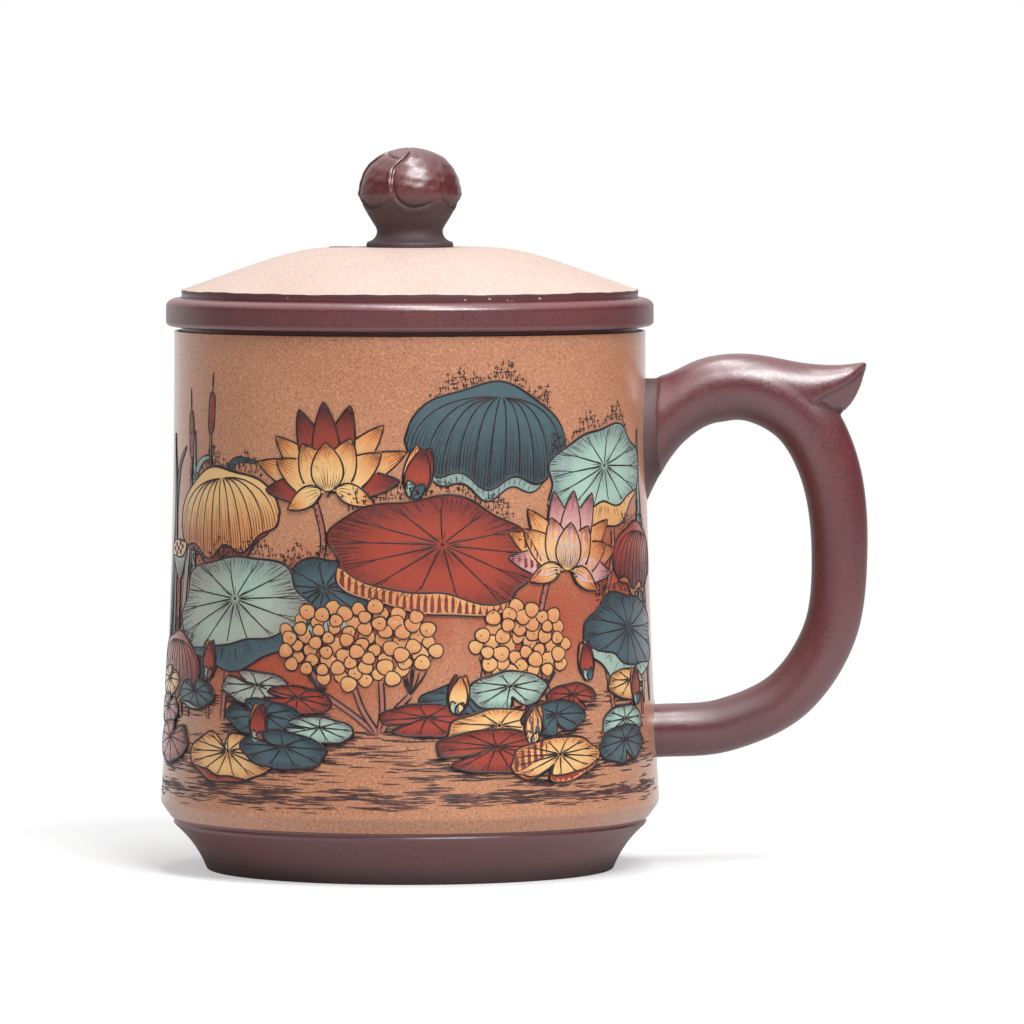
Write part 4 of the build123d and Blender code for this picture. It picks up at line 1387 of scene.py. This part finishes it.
def handle():
    """Arm and spur melted into one skin, then seated on the body."""
    heap = Heap()
    for sections in (arm_sections(), spur_sections()):
        heap.add(*tube(sections))
    mesh = mesh_of("handle_arm", *heap.mesh())
    weld(mesh, 1e-7)
    obj = new_object("handle_arm", mesh)
    melt = obj.modifiers.new("melt", "REMESH")
    melt.mode, melt.voxel_size, melt.use_smooth_shade = "VOXEL", 0.28 * MM, True
    apply_modifiers(obj)
    x, _, z = places(obj).T
    add_ease(obj, 4, 1 - smoothstep(x, 68.5, 70.0) * smoothstep(z, 78.0, 79.5))
    add_ease(obj, 1)
    add_ease(obj, 40, smoothstep(x, 46, 50) * smoothstep(x, 71.6, 68.4) * smoothstep(z, 75, 78))
    apply_modifiers(obj)
    obj.vertex_groups.clear()
    outward = np.array([v.normal[:] for v in obj.data.vertices])
    fitted = seated(places(obj), outward) * MM
    obj.data.vertices.foreach_set("co", fitted.astype(np.float32).ravel())
    obj.data.update()
    thin_out = obj.modifiers.new("thin_out", "DECIMATE")
    thin_out.ratio = 0.56
    apply_modifiers(obj)
    # Painted shade on the band by the wall, inside the loop and along the spur's creases.
    paint_shade(obj, handle_painted_shade)
    dress(obj, purple_clay, "mug", "purple_clay", ["handle"])


handle()
pond_front()
pond_back()
painting_meshes()

# ------------------------------------------------------------ floor, light, camera
GLOSS_FRONT, GLOSS_BACK, GLOSS_OVERHEAD = 0.03, 1.0, 1.0  # level of the surroundings in gloss
FLOOR_LIT = 0.42  # what the floor's own light adds, so that it shows white where no shadow falls
FILL = 0.42  # level of the surroundings in matt light
WHITE = (1, 1, 1, 1)
FLOOR_R = 6.0


def gloss_level(tree, direction):
    """What a direction (x, y, z) shows in gloss: dark in front, bright far behind and more so on the left."""
    parts = add(tree, "SeparateXYZ", inputs={"Vector": direction})
    start = remap(tree, parts.outputs["X"], -0.15, 0.15, 0.20, 0.66)
    behind = remap(tree, parts.outputs["Y"], start, 1.0, GLOSS_FRONT, GLOSS_BACK, smooth=False)
    overhead = remap(tree, parts.outputs["Z"], 0.35, 0.80, 0.0, GLOSS_OVERHEAD)
    return maths(tree, "ADD", behind, overhead)


def floor_looks():
    """White for the camera and for gloss far from the object; near it a matt floor that takes its shadow."""
    material, tree, place = new_material("studio_floor")
    far = length_of(tree, place)
    ray = add(tree, "LightPath")
    seen = ray.outputs["Is Camera Ray"]
    bearing = add(tree, "VectorMath", operation="NORMALIZE", inputs={0: place}).outputs[0]
    mirrored = maths(tree, "MULTIPLY", ray.outputs["Is Glossy Ray"], gloss_level(tree, bearing))
    matt = add(tree, "BsdfDiffuse", inputs={"Color": (0.60, 0.60, 0.60, 1.0)})
    close = maths(tree, "MULTIPLY", ray.outputs["Is Glossy Ray"], remap(tree, far, 0.30, 0.09, 0.0, 0.14))
    lit = maths(tree, "MULTIPLY", maths(tree, "MAXIMUM", seen, close), FLOOR_LIT)
    soft = add(tree, "Emission", inputs={"Color": WHITE, "Strength": lit})
    near = add(tree, "AddShader", inputs={0: matt.outputs[0], 1: soft.outputs[0]})
    glow = add(tree, "Emission", inputs={"Color": WHITE, "Strength": 1.0})
    white = maths(tree, "MULTIPLY", maths(tree, "MAXIMUM", seen, mirrored), remap(tree, far, 0.09, 0.30))
    both = add(tree, "MixShader", inputs={"Fac": white, 1: near.outputs[0], 2: glow.outputs[0]})
    add(tree, "OutputMaterial", inputs={"Surface": both.outputs[0]})
    return material


def studio_floor():
    bm = bmesh.new()
    bmesh.ops.create_circle(bm, cap_ends=True, segments=96, radius=FLOOR_R)
    mesh = bpy.data.meshes.new("studio_floor")
    bm.to_mesh(mesh)
    bm.free()
    mesh.materials.append(floor_looks())
    floor = bpy.data.objects.new("studio_floor", mesh)
    scene.collection.objects.link(floor)


def studio_world():
    """White for the camera, a plain fill for matt light, and the studio's bright and dark sides in gloss."""
    world = bpy.data.worlds.new("studio")
    scene.world = world
    world.use_nodes = True
    tree = world.node_tree
    tree.nodes.clear()
    path = add(tree, "LightPath")

    def background(strength):
        return add(tree, "Background", inputs={"Color": WHITE, "Strength": strength}).outputs[0]

    gloss = gloss_level(tree, add(tree, "TexCoord").outputs["Generated"])
    around = add(tree, "MixShader", inputs={"Fac": path.outputs["Is Glossy Ray"], 1: background(FILL),
                                            2: background(gloss)})
    shown = maths(tree, "MAXIMUM", path.outputs["Is Camera Ray"], path.outputs["Is Transmission Ray"])
    level = add(tree, "MixShader", inputs={"Fac": shown, 1: around.outputs[0], 2: background(1.0)})
    add(tree, "OutputWorld", inputs={"Surface": level.outputs[0]})


def facing(at, aim):
    """The turn that points a lamp or a camera from one place to another."""
    return (Vector(aim) - Vector(at)).to_track_quat("-Z", "Y").to_euler()


def area_light(name, at, aim, width, height, watts):
    data = bpy.data.lights.new(name, "AREA")
    data.shape, data.size, data.size_y, data.energy = "RECTANGLE", width, height, watts
    obj = bpy.data.objects.new(name, data)
    scene.collection.objects.link(obj)
    obj.location = at
    obj.rotation_euler = facing(at, aim)


CAMERA_X, CAMERA_DISTANCE, CAMERA_Z, AIM_Z = 0.01795, 1.607, 0.1388, 0.0627


def photo_camera():
    data = bpy.data.cameras.new("photo_view")
    data.sensor_width, data.lens = 36.0, 321.4
    data.clip_start, data.clip_end = 0.1, 50.0
    camera = bpy.data.objects.new("photo_view", data)
    scene.collection.objects.link(camera)
    camera.location = (CAMERA_X, -CAMERA_DISTANCE, CAMERA_Z)
    camera.rotation_euler = facing(camera.location, (CAMERA_X, 0.0, AIM_Z))
    return camera


studio_floor()
studio_world()
area_light("top_softbox", (0.037, -0.060, 0.962), (0.02, -0.02, 0.09), 0.17, 0.56, 4.1)
area_light("key_softbox", (0.25, -0.55, 0.75), (0.0, 0.0, 0.07), 0.42, 0.38, 6.5)
bpy.context.scene.camera = photo_camera()
scene.view_settings.view_transform = "Standard"
